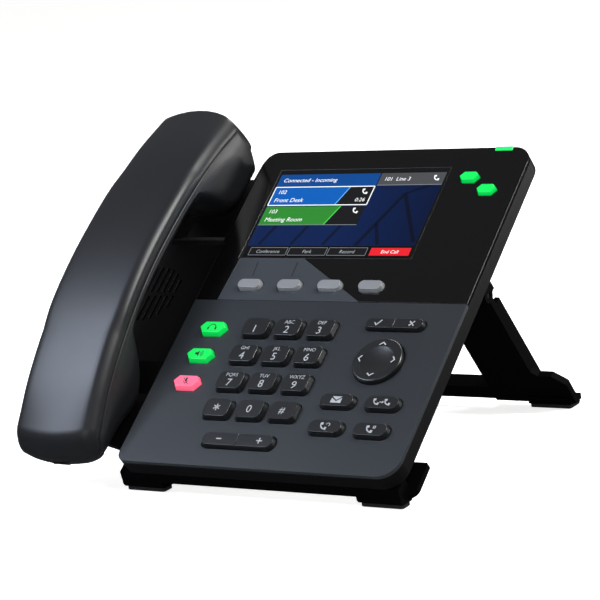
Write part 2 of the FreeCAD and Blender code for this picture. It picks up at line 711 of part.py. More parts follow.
# ---------------------------------------------------------------- stand
def foot_profile():
    """Bar under the front edge, as (v, w) points."""
    return [(7.0, -EDGE_T - 0.2), (0.2, -EDGE_T - 0.2), (-1.3, -12.6), (-1.6, -14.2),
            (WING_V[0], WING_W[1]), (7.0, WING_W[1])]


def front_foot_bar():
    """Front foot bar: wing plate, bar under the edge, two feet and two screw blocks."""
    wing = rounded_block(WING_U, WING_V, (WING_R, WING_R, 1.0, 1.0), WING_W)
    bar = side_prism(foot_profile(), BAR_U)
    blocks = []
    for u in BLOCK_U:
        blocks.append(box((u, u + BLOCK_W), (6.5, 19.0), (WING_W[1], -EDGE_T)))
    frame = on_desk(fuse_all([wing, bar] + blocks))
    feet = []
    for u in (BAR_U[0], BAR_U[1] - FOOT_W):
        feet.append(side_prism([(6.3, 8.0), (6.9, 3.4), (8.2, PAD_T), (16.0, PAD_T),
                                (16.0, 4.6), (13.0, 8.0)], (u, u + FOOT_W)))
    body = fuse_all([frame] + feet)
    for u in BLOCK_U:
        hole = rod(u + BLOCK_W / 2, STAND_SCREW_V, SCREW_R + 0.3, (WING_W[0] - 1, -EDGE_T + 1))
        body = body.cut(on_desk(hole))
    return body


def front_pads():
    """Rubber pads under the two front feet."""
    pads = []
    for u in (BAR_U[0], BAR_U[1] - FOOT_W):
        pad = rounded_block((u + 0.6, u + FOOT_W - 0.6), PAD_Y, (1.5,) * 4, (0, PAD_T))
        pads.append(pad)
    return Part.Compound(pads)


def stand_screws():
    """Screws that hold the front foot bar to the rear cover."""
    group = []
    for u in BLOCK_U:
        centre = u + BLOCK_W / 2
        shank = rod(centre, STAND_SCREW_V, SCREW_R, (WING_W[0], -EDGE_T + COVER_T))
        head = rod(centre, STAND_SCREW_V, SCREW_HEAD_R, (WING_W[0] - SCREW_HEAD_T, WING_W[0]))
        group.append(fuse_all([shank, head]))
    return Part.Compound(group)


def leg(u, outward):
    """One rear leg in the face axes, reaching straight back from the hinge."""
    low = PIN_V - LEG_T / 2
    high = PIN_V + LEG_T / 2
    plate = box((u, u + LEG_W), (low, high), (PIN_W - LEG_REACH, PIN_W))
    knuckle = cross_rod(PIN_V, PIN_W, KNUCKLE_R, (u, u + LEG_W))
    heel = box((u, u + LEG_W), (PIN_V, PIN_V + 6.0), (PIN_W - 1.5, -HUMP_DEPTH - 0.3))
    foot_end = PIN_W - LEG_REACH
    foot_top = PIN_W - REAR_FOOT_D
    inner = u + LEG_W / 2
    outer = u + LEG_W / 2 + outward * (LEG_W / 2 + REAR_FOOT_OUT)
    edge = u + LEG_W / 2 + outward * (LEG_W / 2)
    chamfer = outer - outward * 6.0
    corners = [V(inner, low, foot_top), V(edge, low, foot_top + 3.0),
               V(edge + outward * 3.0, low, foot_top), V(chamfer, low, foot_top),
               V(outer, low, foot_top - 6.0), V(outer, low, foot_end), V(inner, low, foot_end)]
    foot = Part.Face(Part.makePolygon(corners + corners[:1])).extrude(V(0, LEG_T, 0))
    ribs = []
    for rib in (u, u + LEG_W - RIB_W):
        ribs.append(box((rib, rib + RIB_W), (high - 0.5, high + RIB_H), (PIN_W - 76.0, PIN_W - 8.0)))
    return [plate, knuckle, heel, foot] + ribs


def leg_frame():
    """Both rear legs with the crossbar between their feet."""
    low = PIN_V - LEG_T / 2
    parts = leg(LEG_U[0], -1) + leg(LEG_U[1], 1)
    cross = box((LEG_U[0], LEG_U[1] + LEG_W), (low, PIN_V + LEG_T / 2),
                (PIN_W - CROSS_D[1], PIN_W - CROSS_D[0]))
    stiffener = box((LEG_U[0], LEG_U[1] + LEG_W), (PIN_V, PIN_V + LEG_T / 2 + RIB_H),
                    (PIN_W - CROSS_D[0] - 2.5, PIN_W - CROSS_D[0]))
    frame = fuse_all(parts + [cross, stiffener])
    for u in lug_starts():
        slot = box((u - LUG_GAP, u + LUG_W + LUG_GAP), (PIN_V - 10, PIN_V + 10),
                   (PIN_W - NOTCH, PIN_W + 10))
        frame = frame.cut(slot)
    for u in LEG_U:
        frame = frame.cut(cross_rod(PIN_V, PIN_W, PIN_R + PIN_CLEAR, (u - 1, u + LEG_W + 1)))
    frame = on_desk(frame)
    shoes = []
    for u in rear_pad_starts():
        shoes.append(side_prism([(REAR_PAD_Y[0], PAD_T), (REAR_PAD_Y[0], PAD_T + 3.4),
                                 (REAR_PAD_Y[0] + 5.0, PAD_T + 4.4), (REAR_PAD_Y[1], PAD_T + 3.0),
                                 (REAR_PAD_Y[1], PAD_T)], (u, u + REAR_PAD_W)))
    body = fuse_all([frame] + shoes)
    below = Part.makeBox(400, 200, 60, V(-100, 60, PAD_T - 60))
    return body.cut(below)


def rear_pad_starts():
    """Left end of each rear rubber pad."""
    right = LEG_U[1] + LEG_W + REAR_FOOT_OUT - 1.5 - REAR_PAD_W
    left = LEG_U[0] - REAR_FOOT_OUT + 1.5
    return [left, right]


def rear_pads():
    """Rubber pads under the two rear feet."""
    pads = []
    for u in rear_pad_starts():
        pads.append(rounded_block((u + 0.4, u + REAR_PAD_W - 0.4),
                                  (REAR_PAD_Y[0] + 0.3, REAR_PAD_Y[1] - 0.3), (1.5,) * 4, (0, PAD_T)))
    return Part.Compound(pads)


def hinge_pins():
    """Steel pins of the two leg hinges."""
    pins = []
    for u in LEG_U:
        pins.append(cross_rod(PIN_V, PIN_W, PIN_R, (u + 0.5, u + LEG_W - 0.5)))
    return Part.Compound(pins)


# ---------------------------------------------------------------- handset
def handset_edges(inset):
    """Closed side outline of the handset as smooth and straight edges, drawn in by an inset."""
    u = HAND_U - HAND_W / 2 + inset
    back = [V(u, v, w - inset) for v, w in BACK_LINE]
    back[0] = V(u, BACK_LINE[0][0] - 2.0 + inset, BACK_LINE[0][1] - 1.3 - inset)
    back[-1] = V(u, HAND_TOP_V - 2.5 - inset, 26.8 - inset)
    crown = Part.BSplineCurve()
    crown.interpolate(back)
    top_low = V(u, HAND_TOP_V - 8.0 - inset, EAR_BOTTOM + inset)
    ear_low = V(u, 168.0 + inset, EAR_BOTTOM + inset)
    grip_high = V(u, 134.0 + inset, GRIP_W + inset)
    grip_low = V(u, 78.0 - inset, GRIP_W + inset)
    mouth_high = V(u, 44.0 - inset, MOUTH_BOTTOM - 1.6 + inset)
    mouth_low = V(u, HAND_LOW_V + 13.0 + inset, MOUTH_BOTTOM + 0.8 + inset)
    ear = Part.BSplineCurve()
    ear.interpolate([ear_low, V(u, 157.5 + inset, -7.5 + inset), V(u, 147.5 + inset, 8.0 + inset),
                     grip_high])
    mouth = Part.BSplineCurve()
    mouth.interpolate([grip_low, V(u, 64.5 - inset, 12.5 + inset), V(u, 55.5 - inset, -0.5 + inset),
                       mouth_high])
    top_end = Part.Arc(back[-1], V(u, HAND_TOP_V - inset, HAND_TOP_W), top_low)
    low_end = Part.Arc(mouth_low, V(u, HAND_LOW_V + inset, HAND_LOW_W), back[0])
    return [crown.toShape(), top_end.toShape(), Part.LineSegment(top_low, ear_low).toShape(),
            ear.toShape(), Part.LineSegment(grip_high, grip_low).toShape(), mouth.toShape(),
            Part.LineSegment(mouth_high, mouth_low).toShape(), low_end.toShape()]


def back_edges(body):
    """Long edges down both sides of the outer back."""
    edges = []
    for edge in body.Edges:
        bounds = edge.BoundBox
        if bounds.XLength < 1e-6 and bounds.YLength > 150.0 and bounds.ZMax > BACK_LINE[4][1] - 4.0:
            edges.append(edge)
    return edges


def handset_plan(inset):
    """Outline of the handset seen from above, with bowed ends, as an upright block."""
    slack = 0.3
    low = HAND_LOW_V - slack + inset
    high = HAND_TOP_V + slack - inset
    low_r = HAND_BOW_R[0] - inset
    high_r = HAND_BOW_R[1] - inset
    height = (-30.0, 60.0)
    half = HAND_W / 2 - inset
    middle = box((HAND_U - half - 5.0, HAND_U + half + 5.0), (low + 20.0, high - 20.0), height)
    bowed = fuse_all([middle, rod(HAND_U, low + low_r, low_r, height),
                      rod(HAND_U, high - high_r, high_r, height)])
    sides = rounded_block((HAND_U - half, HAND_U + half), (low, high), (HAND_CORNER_R,) * 4, height)
    return bowed.common(sides)


def handset_solid(inset):
    """Whole handset as one solid, drawn in by an inset; the hollow keeps square corners."""
    face = Part.Face(Part.Wire(handset_edges(inset)))
    width = HAND_W - 2 * inset
    body = face.extrude(V(width, 0, 0))
    if inset == 0:
        body = body.makeFillet(HAND_EDGE_R, back_edges(body))
    low = HAND_U - width / 2
    high = HAND_U + width / 2
    body = body.common(handset_plan(inset))
    chamfer = HAND_CHAMFER
    for side, edge in ((1, low), (-1, high)):
        for v0, v1, base in ((-20.0, 60.0, MOUTH_BOTTOM - 1.6), (140.0, 220.0, EAR_BOTTOM)):
            corner = base + inset
            wedge = end_prism([(edge - side, corner - 1.0), (edge + side * chamfer, corner - 1.0),
                               (edge + side * chamfer, corner), (edge, corner + chamfer),
                               (edge - side, corner + chamfer)], (v0, v1))
            body = body.cut(wedge)
    return body


def parting_sheet(above):
    """Block over or under the joint between the two handset shells."""
    points = [V(HAND_U - 60, v, w - HAND_PART) for v, w in BACK_LINE]
    first = V(HAND_U - 60, -30.0, BACK_LINE[0][1] - HAND_PART - 10.0)
    last = V(HAND_U - 60, 230.0, BACK_LINE[-1][1] - HAND_PART - 5.0)
    line = [first] + points + [last]
    curve = Part.BSplineCurve()
    curve.interpolate(line)
    level = 90.0 if above else -90.0
    edges = [curve.toShape(), Part.LineSegment(last, V(HAND_U - 60, 230.0, level)).toShape(),
             Part.LineSegment(V(HAND_U - 60, 230.0, level), V(HAND_U - 60, -30.0, level)).toShape(),
             Part.LineSegment(V(HAND_U - 60, -30.0, level), first).toShape()]
    return Part.Face(Part.Wire(edges)).extrude(V(120, 0, 0))


def handset_socket_box(grow, depth):
    """Block for the cord socket in the lower end of the handset."""
    return box((HAND_U - 5.0 - grow, HAND_U + 5.0 + grow), (HAND_LOW_V - 2, HAND_LOW_V + depth),
               (-3.0 - grow, 7.0 + grow))


def handset_shells():
    """Outer back shell and inner face shell of the handset."""
    wall = handset_solid(0).cut(handset_solid(HAND_SHELL))
    wall = wall.cut(handset_socket_box(0, 12.0))
    back = wall.common(parting_sheet(True))
    face = wall.common(parting_sheet(False))
    for ring, count in ((4.0, 6), (8.0, 12)):
        for index in range(count):
            angle = 2 * math.pi * index / count
            face = face.cut(rod(HAND_U + ring * math.cos(angle), EAR_CENTRE_V + ring * math.sin(angle),
                                0.9, (EAR_BOTTOM - 1, EAR_BOTTOM + HAND_SHELL + 1)))
    for offset in (-3.0, 0.0, 3.0):
        face = face.cut(rod(HAND_U + offset, MIC_V, 0.8, (-16.0, -4.0)))
    return back, face


def receiver():
    """Earpiece capsule."""
    low = EAR_BOTTOM + HAND_SHELL + 0.1
    return rod(HAND_U, EAR_CENTRE_V, RECEIVER_R, (low, low + RECEIVER_T))


def microphone():
    """Mouthpiece capsule."""
    low = MOUTH_BOTTOM + HAND_SHELL + 0.8
    return rod(HAND_U, MIC_V, MIC_R, (low, low + MIC_T))


def ballast():
    """Steel weight in the grip."""
    w0 = GRIP_W + HAND_SHELL + 1.2
    return box((HAND_U - BALLAST[0] / 2, HAND_U + BALLAST[0] / 2),
               (100.0 - BALLAST[1] / 2, 100.0 + BALLAST[1] / 2), (w0, w0 + BALLAST[2]))


def handset_socket():
    """Cord socket in the lower end of the handset."""
    body = box((HAND_U - 5.0, HAND_U + 5.0), (HAND_LOW_V + 1.6, HAND_LOW_V + 12.0), (-3.0, 7.0))
    mouth = box((HAND_U - 3.9, HAND_U + 3.9), (HAND_LOW_V, HAND_LOW_V + 10.5), (-1.6, 4.4))
    return body.cut(mouth)


# ---------------------------------------------------------------- assembly
def all_nodes():
    """Every node of the telephone, standing on the desk."""
    nodes = {}
    nodes["main_housing"] = on_desk(main_housing())
    nodes["keypad_plate"] = on_desk(keypad_plate())
    nodes["display_bezel"] = on_desk(display_bezel())
    nodes["accent_panel"] = on_desk(accent_panel())
    nodes["screen_lens"] = on_desk(screen_lens())
    nodes["lcd_module"] = on_desk(lcd_module())
    nodes["message_lamp"] = on_desk(message_lamp())
    nodes["key_membrane"] = on_desk(membrane())
    nodes["main_board"] = on_desk(main_board())
    nodes["rear_housing"] = on_desk(rear_housing())
    nodes["cover_screws"] = on_desk(screws())
    nodes["loudspeaker"] = on_desk(loudspeaker())
    nodes["hook_switch"] = on_desk(hook_switch())
    nodes["hook_plunger"] = on_desk(hook_plunger())
    nodes["network_jacks"] = on_desk(network_jacks())
    nodes["cord_jacks"] = on_desk(cord_jacks())
    nodes["power_jack"] = on_desk(power_jack())
    nodes["front_foot_bar"] = front_foot_bar()
    nodes["front_foot_pads"] = front_pads()
    nodes["stand_screws"] = on_desk(stand_screws())
    nodes["leg_frame"] = leg_frame()
    nodes["rear_foot_pads"] = rear_pads()
    nodes["leg_pins"] = on_desk(hinge_pins())
    for name, u, v in dial_centres():
        outline = pill_outline(u, v, DIAL_CORNER)
        nodes["key_" + name] = on_desk(press_key(u, v, outline, DIAL_KEY, 0.7))
    for name, u, v in FUNCTION_AT:
        outline = pill_outline(u, v, FUNCTION_CORNER)
        nodes["key_" + name] = on_desk(press_key(u, v, outline, FUNCTION_KEY, 0.8))
    for name, u, v in MODE_AT:
        nodes["key_" + name] = on_desk(press_key(u, v, hexagon_outline(u, v), MODE_KEY, 0.8))
    for index, u in enumerate(SOFT_AT):
        outline = pill_outline(u, SOFT_V, SOFT_CORNER)
        nodes["soft_key_%d" % (index + 1)] = on_desk(press_key(u, SOFT_V, outline, SOFT_KEY, 0.5))
    for index, (u, v) in enumerate(LINE_AT):
        outline = hexagon_outline(u, v)
        nodes["line_key_%d" % (index + 1)] = on_desk(press_key(u, v, outline, LINE_KEY, 0.5))
    nodes["select_rocker"] = on_desk(rocker_key(*SELECT_AT, SELECT_KEY, SELECT_CORNER, 0.6))
    nodes["volume_rocker"] = on_desk(rocker_key(*VOLUME_AT, VOLUME_KEY, VOLUME_CORNER, 0.7))
    nodes["navigation_pad"] = on_desk(navigation_pad())
    nodes["navigation_plate"] = on_desk(navigation_plate())
    back, face = handset_shells()
    nodes["handset_back"] = on_desk(back)
    nodes["handset_face"] = on_desk(face)
    nodes["handset_receiver"] = on_desk(receiver())
    nodes["handset_microphone"] = on_desk(microphone())
    nodes["handset_ballast"] = on_desk(ballast())
    nodes["handset_socket"] = on_desk(handset_socket())
    return nodes


def footprint_middle(nodes):
    """Middle of the whole telephone's footprint, as x and y."""
    bounds = FreeCAD.BoundBox()
    for shape in nodes.values():
        bounds.add(shape.optimalBoundingBox(False))
    return bounds.Center.x, bounds.Center.y


def write_parts():
    """Write one STEP file per node, with the origin under the middle of the footprint."""
    os.makedirs("parts", exist_ok=True)
    nodes = all_nodes()
    middle_x, middle_y = footprint_middle(nodes)
    for name, shape in nodes.items():
        shape.translate(V(-middle_x, -middle_y, 0))
        shape.exportStep("parts/" + name + ".step")
    print("footprint middle %.6f %.6f" % (middle_x, middle_y))
    return nodes


if __name__ == "__main__":
    write_parts()
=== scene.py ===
"""Desk telephone: finishes, printed marks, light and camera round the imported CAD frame.

Lengths in the classes are millimetres in the face axes: u to the right, v up the
sloping face, w straight out of it, from the lower left corner of the keypad plate.
"""
import json
import logging
import math
from dataclasses import dataclass, field
from enum import Enum
from typing import Any, Sequence

import bmesh
import bpy
import numpy as np
from mathutils import Matrix, Vector

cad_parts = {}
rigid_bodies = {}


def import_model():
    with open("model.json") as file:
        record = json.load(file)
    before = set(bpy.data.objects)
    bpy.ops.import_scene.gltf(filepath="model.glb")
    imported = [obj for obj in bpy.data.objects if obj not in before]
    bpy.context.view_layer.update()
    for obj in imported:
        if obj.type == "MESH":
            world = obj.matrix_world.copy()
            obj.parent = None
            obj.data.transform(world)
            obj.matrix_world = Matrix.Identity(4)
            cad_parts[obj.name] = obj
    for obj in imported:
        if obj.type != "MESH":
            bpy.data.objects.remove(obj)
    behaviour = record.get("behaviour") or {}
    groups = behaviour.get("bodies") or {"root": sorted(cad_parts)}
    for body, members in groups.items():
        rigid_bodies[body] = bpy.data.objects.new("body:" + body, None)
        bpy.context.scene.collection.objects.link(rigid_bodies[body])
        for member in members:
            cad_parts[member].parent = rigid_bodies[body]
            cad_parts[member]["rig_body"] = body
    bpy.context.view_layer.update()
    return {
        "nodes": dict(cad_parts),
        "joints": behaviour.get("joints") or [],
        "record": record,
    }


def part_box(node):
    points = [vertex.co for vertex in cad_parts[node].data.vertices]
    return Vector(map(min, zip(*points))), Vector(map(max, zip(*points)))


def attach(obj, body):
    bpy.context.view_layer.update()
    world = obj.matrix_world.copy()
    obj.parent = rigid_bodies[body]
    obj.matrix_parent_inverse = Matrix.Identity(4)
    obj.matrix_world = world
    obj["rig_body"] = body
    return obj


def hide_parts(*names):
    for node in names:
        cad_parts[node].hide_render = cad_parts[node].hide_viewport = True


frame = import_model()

log = logging.getLogger("telephone")
MM = 0.001
Pair = tuple[float, float]
Line = tuple[Sequence[Pair], float, float]  # points, width, height over its layer
CAP_HEIGHT = 0.729   # height of a capital letter for a font size of one
PRINT_LIFT = 0.02    # print stands this far off its surface


class Body(Enum):
    """Bodies of the frame that new pieces ride on."""

    BASE = "telephone"
    HANDSET = "handset"


class Align(Enum):
    """How a line of text sits on its anchor point."""

    LEFT = "LEFT"
    CENTRE = "CENTER"


# ------------------------------------------------------------------ small tools
def linear(code: str) -> tuple[float, float, float, float]:
    """Turn an sRGB hex colour into a linear one.

    Args:
        code: Six hex digits.

    Returns:
        Linear red, green, blue and an alpha of one.
    """
    channels = [int(code[i:i + 2], 16) / 255 for i in (0, 2, 4)]
    values = [c / 12.92 if c <= 0.04045 else ((c + 0.055) / 1.055) ** 2.4 for c in channels]
    return values[0], values[1], values[2], 1.0


def add_node(tree: bpy.types.NodeTree, kind: str, values: dict[str, Any] | None = None,
             links: dict[str, Any] | None = None, **settings: Any) -> bpy.types.Node:
    """Add one node with its settings, socket values and incoming links.

    Args:
        tree: Node tree that gets the node.
        kind: Blender's node type.
        values: Socket values by socket name or index.
        links: Output sockets to link, by input name or index.
        settings: Properties of the node itself.

    Returns:
        The new node.
    """
    node = tree.nodes.new(kind)
    for name, value in settings.items():
        setattr(node, name, value)
    for name, value in (values or {}).items():
        node.inputs[name].default_value = value
    for name, socket in (links or {}).items():
        tree.links.new(socket, node.inputs[name])
    return node


def new_object(name: str, data: bpy.types.ID) -> bpy.types.Object:
    """Link a mesh, text, light or camera to the scene as an object at the origin."""
    piece = bpy.data.objects.new(name, data)
    bpy.context.scene.collection.objects.link(piece)
    return piece


def baked_copy(piece: bpy.types.Object) -> bpy.types.Mesh:
    """Plain mesh of an object with its modifiers applied; the object stays."""
    bpy.context.view_layer.update()
    graph = bpy.context.evaluated_depsgraph_get()
    return bpy.data.meshes.new_from_object(piece.evaluated_get(graph), depsgraph=graph)


def baked(piece: bpy.types.Object, name: str) -> bpy.types.Mesh:
    """Turn an object with live modifiers, or a text, into a plain mesh and remove it."""
    mesh = baked_copy(piece)
    mesh.name = name
    bpy.data.objects.remove(piece)
    return mesh


def smooth_faces(mesh: bpy.types.Mesh) -> None:
    """Shade every face of a mesh smooth."""
    for face in mesh.polygons:
        face.use_smooth = True


def finish_piece(piece: bpy.types.Object, finish: "Plastic", body: str, node: str) -> None:
    """Dress a piece, let it ride on its body and stand for its CAD node.

    Args:
        piece: Object that is shown.
        finish: Finish of all its faces.
        body: Body that carries it.
        node: CAD node that it replaces.
    """
    piece.data.materials.clear()
    piece.data.materials.append(finish.build())
    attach(piece, body)
    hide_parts(node)
    log.info("%s: %d faces", piece.name, len(piece.data.polygons))


# ------------------------------------------------------------------ the face axes
@dataclass(frozen=True)
class FaceFrame:
    """Face axes of the telephone, found from the frame and the record."""

    tilt: float
    corner: Vector
    skin: float = 2.0

    @classmethod
    def from_cad(cls) -> "FaceFrame":
        """Read the slope from a key's joint axis and the corner from the keypad plate."""
        press = next(j for j in frame["joints"] if j["name"] == "key_5_press")
        tilt = math.atan2(press["axis"][1], -press["axis"][2])
        low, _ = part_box("keypad_plate")
        corner = Vector((low.x, low.y, low.z + cls.skin * MM * math.cos(tilt)))
        return cls(tilt, corner)

    def matrix(self) -> Matrix:
        """Transform from face millimetres to the row frame in metres."""
        turn = Matrix.Rotation(self.tilt, 4, "X")
        return Matrix.Translation(self.corner) @ turn @ Matrix.Scale(MM, 4)

    def extent(self, node: str) -> tuple[Vector, Vector]:
        """Lowest and highest face coordinates of a CAD node."""
        back = self.matrix().inverted()
        spots = np.array([back @ v.co for v in frame["nodes"][node].data.vertices])
        return Vector(spots.min(0)), Vector(spots.max(0))

    def mount(self, name: str) -> Vector:
        """Face coordinates of a mount in the record."""
        spot = next(m for m in frame["record"]["mounts"] if m["name"] == name)
        return self.matrix().inverted() @ Vector(spot["pos_m"])


FACE = FaceFrame.from_cad()


# ------------------------------------------------------------------ finishes
def node_material(name: str) -> tuple[bpy.types.Material, bpy.types.Node, Any]:
    """Start a node material: itself, its surface shader and the socket of Object coordinates."""
    material = bpy.data.materials.new(name)
    material.use_nodes = True
    tree = material.node_tree
    where = add_node(tree, "ShaderNodeTexCoord").outputs["Object"]
    return material, tree.nodes["Principled BSDF"], where


def shaded(colour: tuple[float, ...], share: float) -> tuple[float, float, float, float]:
    """Scale a linear colour and keep its alpha at one."""
    return tuple(c * share for c in colour[:3]) + (1.0,)


@dataclass(frozen=True)
class Plastic:
    """Moulded plastic: a base colour, a grain, and a slow change in its sheen.

    Grain and cloud sizes are real lengths. A grain under a millimetre would not
    show at this scale, so the finest one used is 0.7 mm.
    """

    name: str
    colour: str
    rough: float
    slot: str
    spread: float = 0.06
    grain: float = 0.8
    depth: float = 0.02
    cloud: float = 38.0
    tint: float = 0.12
    specular: float = 0.5
    coat: float = 0.0
    coat_rough: float = 0.1
    glow: float = 0.0
    metallic: float = 0.0
    ior: float = 1.5

    def build(self) -> bpy.types.Material:
        """Make the material, once.

        Returns:
            The node material.
        """
        ready = bpy.data.materials.get(self.name)
        if ready is not None:
            return ready
        material, shader, where = node_material(self.name)
        tree = material.node_tree
        base = linear(self.colour)
        levels = {"Metallic": self.metallic, "Specular IOR Level": self.specular,
                  "Coat Weight": self.coat, "Coat Roughness": self.coat_rough}
        if self.metallic == 0:
            levels["IOR"] = self.ior
        for label, level in levels.items():
            shader.inputs[label].default_value = level
        cloud = add_node(tree, "ShaderNodeTexNoise", {"Scale": 1 / (self.cloud * MM), "Detail": 3.0},
                         {"Vector": where})
        grain = add_node(tree, "ShaderNodeTexNoise", {"Scale": 1 / (self.grain * MM), "Detail": 2.0},
                         {"Vector": where})
        shade = add_node(tree, "ShaderNodeMix",
                         {6: shaded(base, 1 - self.tint), 7: shaded(base, 1 + self.tint)},
                         {0: cloud.outputs["Fac"]}, data_type="RGBA")
        tree.links.new(shade.outputs[2], shader.inputs["Base Color"])
        if self.glow > 0:
            tree.links.new(shade.outputs[2], shader.inputs["Emission Color"])
            shader.inputs["Emission Strength"].default_value = self.glow
        sheen = add_node(tree, "ShaderNodeMapRange",
                         {"To Min": max(self.rough - self.spread, 0.02), "To Max": self.rough + self.spread},
                         {"Value": cloud.outputs["Fac"]})
        speckle = add_node(tree, "ShaderNodeMath", {1: self.spread * 0.6},
                           {0: grain.outputs["Fac"]}, operation="MULTIPLY")
        total = add_node(tree, "ShaderNodeMath", {}, {0: sheen.outputs[0], 1: speckle.outputs[0]},
                         operation="ADD")
        tree.links.new(total.outputs[0], shader.inputs["Roughness"])
        bump = add_node(tree, "ShaderNodeBump", {"Strength": 1.0, "Distance": self.depth * MM},
                        {"Height": grain.outputs["Fac"]})
        tree.links.new(bump.outputs["Normal"], shader.inputs["Normal"])
        return material


@dataclass(frozen=True)
class Lit:
    """Lit colour of the display: even light with a faint mottle."""

    name: str
    colour: str
    power: float = 1.0
    pitch: float = 1.1
    slot: str = "clear_window"
    fade: bool = False

    def build(self) -> bpy.types.Material:
        """Make the material, once.

        Returns:
            The node material.
        """
        ready = bpy.data.materials.get(self.name)
        if ready is not None:
            return ready
        material, shader, where = node_material(self.name)
        tree = material.node_tree
        base = linear(self.colour)
        for label, level in (("Roughness", 0.12), ("Specular IOR Level", 0.2),
                             ("Emission Strength", self.power), ("Base Color", shaded(base, 0.3))):
            shader.inputs[label].default_value = level
        dots = add_node(tree, "ShaderNodeTexNoise", {"Scale": 1 / (self.pitch * MM), "Detail": 1.0},
                        {"Vector": where})
        shade = add_node(tree, "ShaderNodeMix", {6: shaded(base, 0.86), 7: base},
                         {0: dots.outputs["Fac"]}, data_type="RGBA")
        glow = shade
        if self.fade:
            axes = add_node(tree, "ShaderNodeSeparateXYZ", {}, {0: where})
            across = add_node(tree, "ShaderNodeMapRange", {"From Min": 0.008, "From Max": 0.060,
                              "To Min": 0.0, "To Max": 0.88}, {"Value": axes.outputs["X"]})
            glow = add_node(tree, "ShaderNodeMix", {7: (0.0, 0.0, 0.002, 1.0)},
                            {0: across.outputs[0], 6: shade.outputs[2]}, data_type="RGBA")
        tree.links.new(glow.outputs[2], shader.inputs["Emission Color"])
        return material


# Acrylonitrile-butadiene-styrene moulded in an eroded tool: a dull black with a fine grain.
ABS_BLACK = Plastic("abs_black_grained", "08080a", 0.42, "black_housing", specular=0.14)
# The stand is the same resin with a coarser, duller tool face. Its colour is painted darker and its
# reflection weaker than the housing's, as painted shade for the shadow under the telephone: the blackest
# part of the telephone.
ABS_STAND = Plastic("abs_black_stand_painted_shade", "030304", 0.6, "black_housing", grain=0.9, depth=0.03,
                    specular=0.03)
# The same resin in slate grey: satin, and a little cloudy from handling.
ABS_SLATE = Plastic("abs_slate_satin", "1f2327", 0.40, "grey_plate", grain=0.7, depth=0.012, tint=0.05,
                    specular=0.5)
# Acrylic with a polished face: near black, with sharp but weak reflections.
ACRYLIC_BLACK = Plastic("acrylic_black_polished", "070708", 0.10, "gloss_black", spread=0.04, grain=2.0,
                        depth=0.002, specular=0.35, tint=0.1)
# Printed grey under clear acrylic: smooth and even.
ACRYLIC_GREY = Plastic("acrylic_grey_printed", "363a3f", 0.30, "grey_accent", grain=0.8, depth=0.004,
                       tint=0.05, specular=0.4)
# Polycarbonate window over the display: black and sharp where nothing is lit.
PC_WINDOW = Plastic("polycarbonate_window", "060709", 0.07, "clear_window", spread=0.02, grain=3.0,
                    depth=0.001, specular=0.35)
# Polycarbonate key caps with a satin black coat: soft glints along the rims.
PC_KEY = Plastic("polycarbonate_key_satin", "131416", 0.28, "key_black", spread=0.05, grain=0.7,
                 depth=0.008, specular=0.55, coat=0.15, coat_rough=0.25)
# Clear green caps lit from inside: saturated, with a soft highlight.
PC_GREEN = Plastic("polycarbonate_green_lit", "00c64c", 0.28, "key_green", glow=0.36, grain=0.9,
                   depth=0.006, tint=0.08)
# Clear red caps lit from inside.
PC_RED = Plastic("polycarbonate_red_lit", "f2607c", 0.28, "key_red", glow=0.40, grain=0.9,
                 depth=0.006, tint=0.08)
# Metallic paint on the small keys: pale grey with a fine flake.
PAINT_SILVER = Plastic("paint_silver_flake", "8b8d90", 0.34, "key_silver", metallic=0.35, grain=0.7,
                       depth=0.006, tint=0.07)
# Light pipe of clear acrylic, glowing green.
LIGHT_PIPE = Plastic("acrylic_light_pipe", "19d45a", 0.2, "lamp_green", glow=0.6, grain=1.0, depth=0.004)
# Nitrile rubber: black, dull and slightly dusty.
NITRILE = Plastic("nitrile_rubber_dull", "17171a", 0.78, "black_rubber", grain=1.1, depth=0.05, tint=0.25,
                  specular=0.25)
# Zinc-plated steel, turned: pale and slightly streaked.
ZINC_STEEL = Plastic("steel_zinc_plated", "a7a8a6", 0.34, "steel", metallic=1.0, grain=0.7, depth=0.01)
# Steel sheet, pressed and blackened.
BLACK_STEEL = Plastic("steel_pressed_black", "3b3c3f", 0.42, "speaker_metal", metallic=1.0, grain=0.9)
# Steel rod with a black oxide coat: dark, with a thin oily sheen.
BLACK_OXIDE = Plastic("steel_black_oxide", "08080a", 0.45, "steel", grain=0.7, depth=0.006, specular=0.15)
# Gold flash over phosphor bronze: warm and bright.
GOLD_FLASH = Plastic("bronze_gold_flash", "d9a441", 0.22, "jack_plastic", metallic=1.0, grain=0.7,
                     depth=0.003)
# Glass-filled nylon: black with a slightly stony surface.
NYLON_BLACK = Plastic("nylon_glass_filled", "151517", 0.55, "jack_plastic", grain=0.7, depth=0.03,
                      specular=0.35)
# Glass-epoxy board under green solder mask.
SOLDER_MASK = Plastic("epoxy_board_green", "1d5b34", 0.35, "board_green", grain=1.6, depth=0.02)
# Silicone rubber of the switch sheet.
SILICONE = Plastic("silicone_sheet_grey", "a9aaa6", 0.6, "membrane_rubber", grain=1.4, depth=0.02)
# Tinned steel frame of the display panel.
TIN_FRAME = Plastic("steel_tinned_frame", "9a9b9d", 0.38, "display_frame", metallic=1.0)
# Handset shell: smooth satin plastic that takes a long soft highlight.
ABS_HANDSET = Plastic("abs_handset_satin", "131417", 0.38, "handset_black", spread=0.04, grain=0.7,
                      depth=0.010, tint=0.08, specular=0.5)
# Pad-printed white ink on the keys: flat and faintly uneven.
INK_WHITE = Plastic("ink_white_printed", "a2a5a8", 0.5, "key_black", grain=0.7, depth=0.004, tint=0.06)
# Dark ink on the lit keys and on the grey accent.
INK_DARK = Plastic("ink_dark_printed", "040605", 0.5, "grey_accent", grain=0.7, depth=0.004)


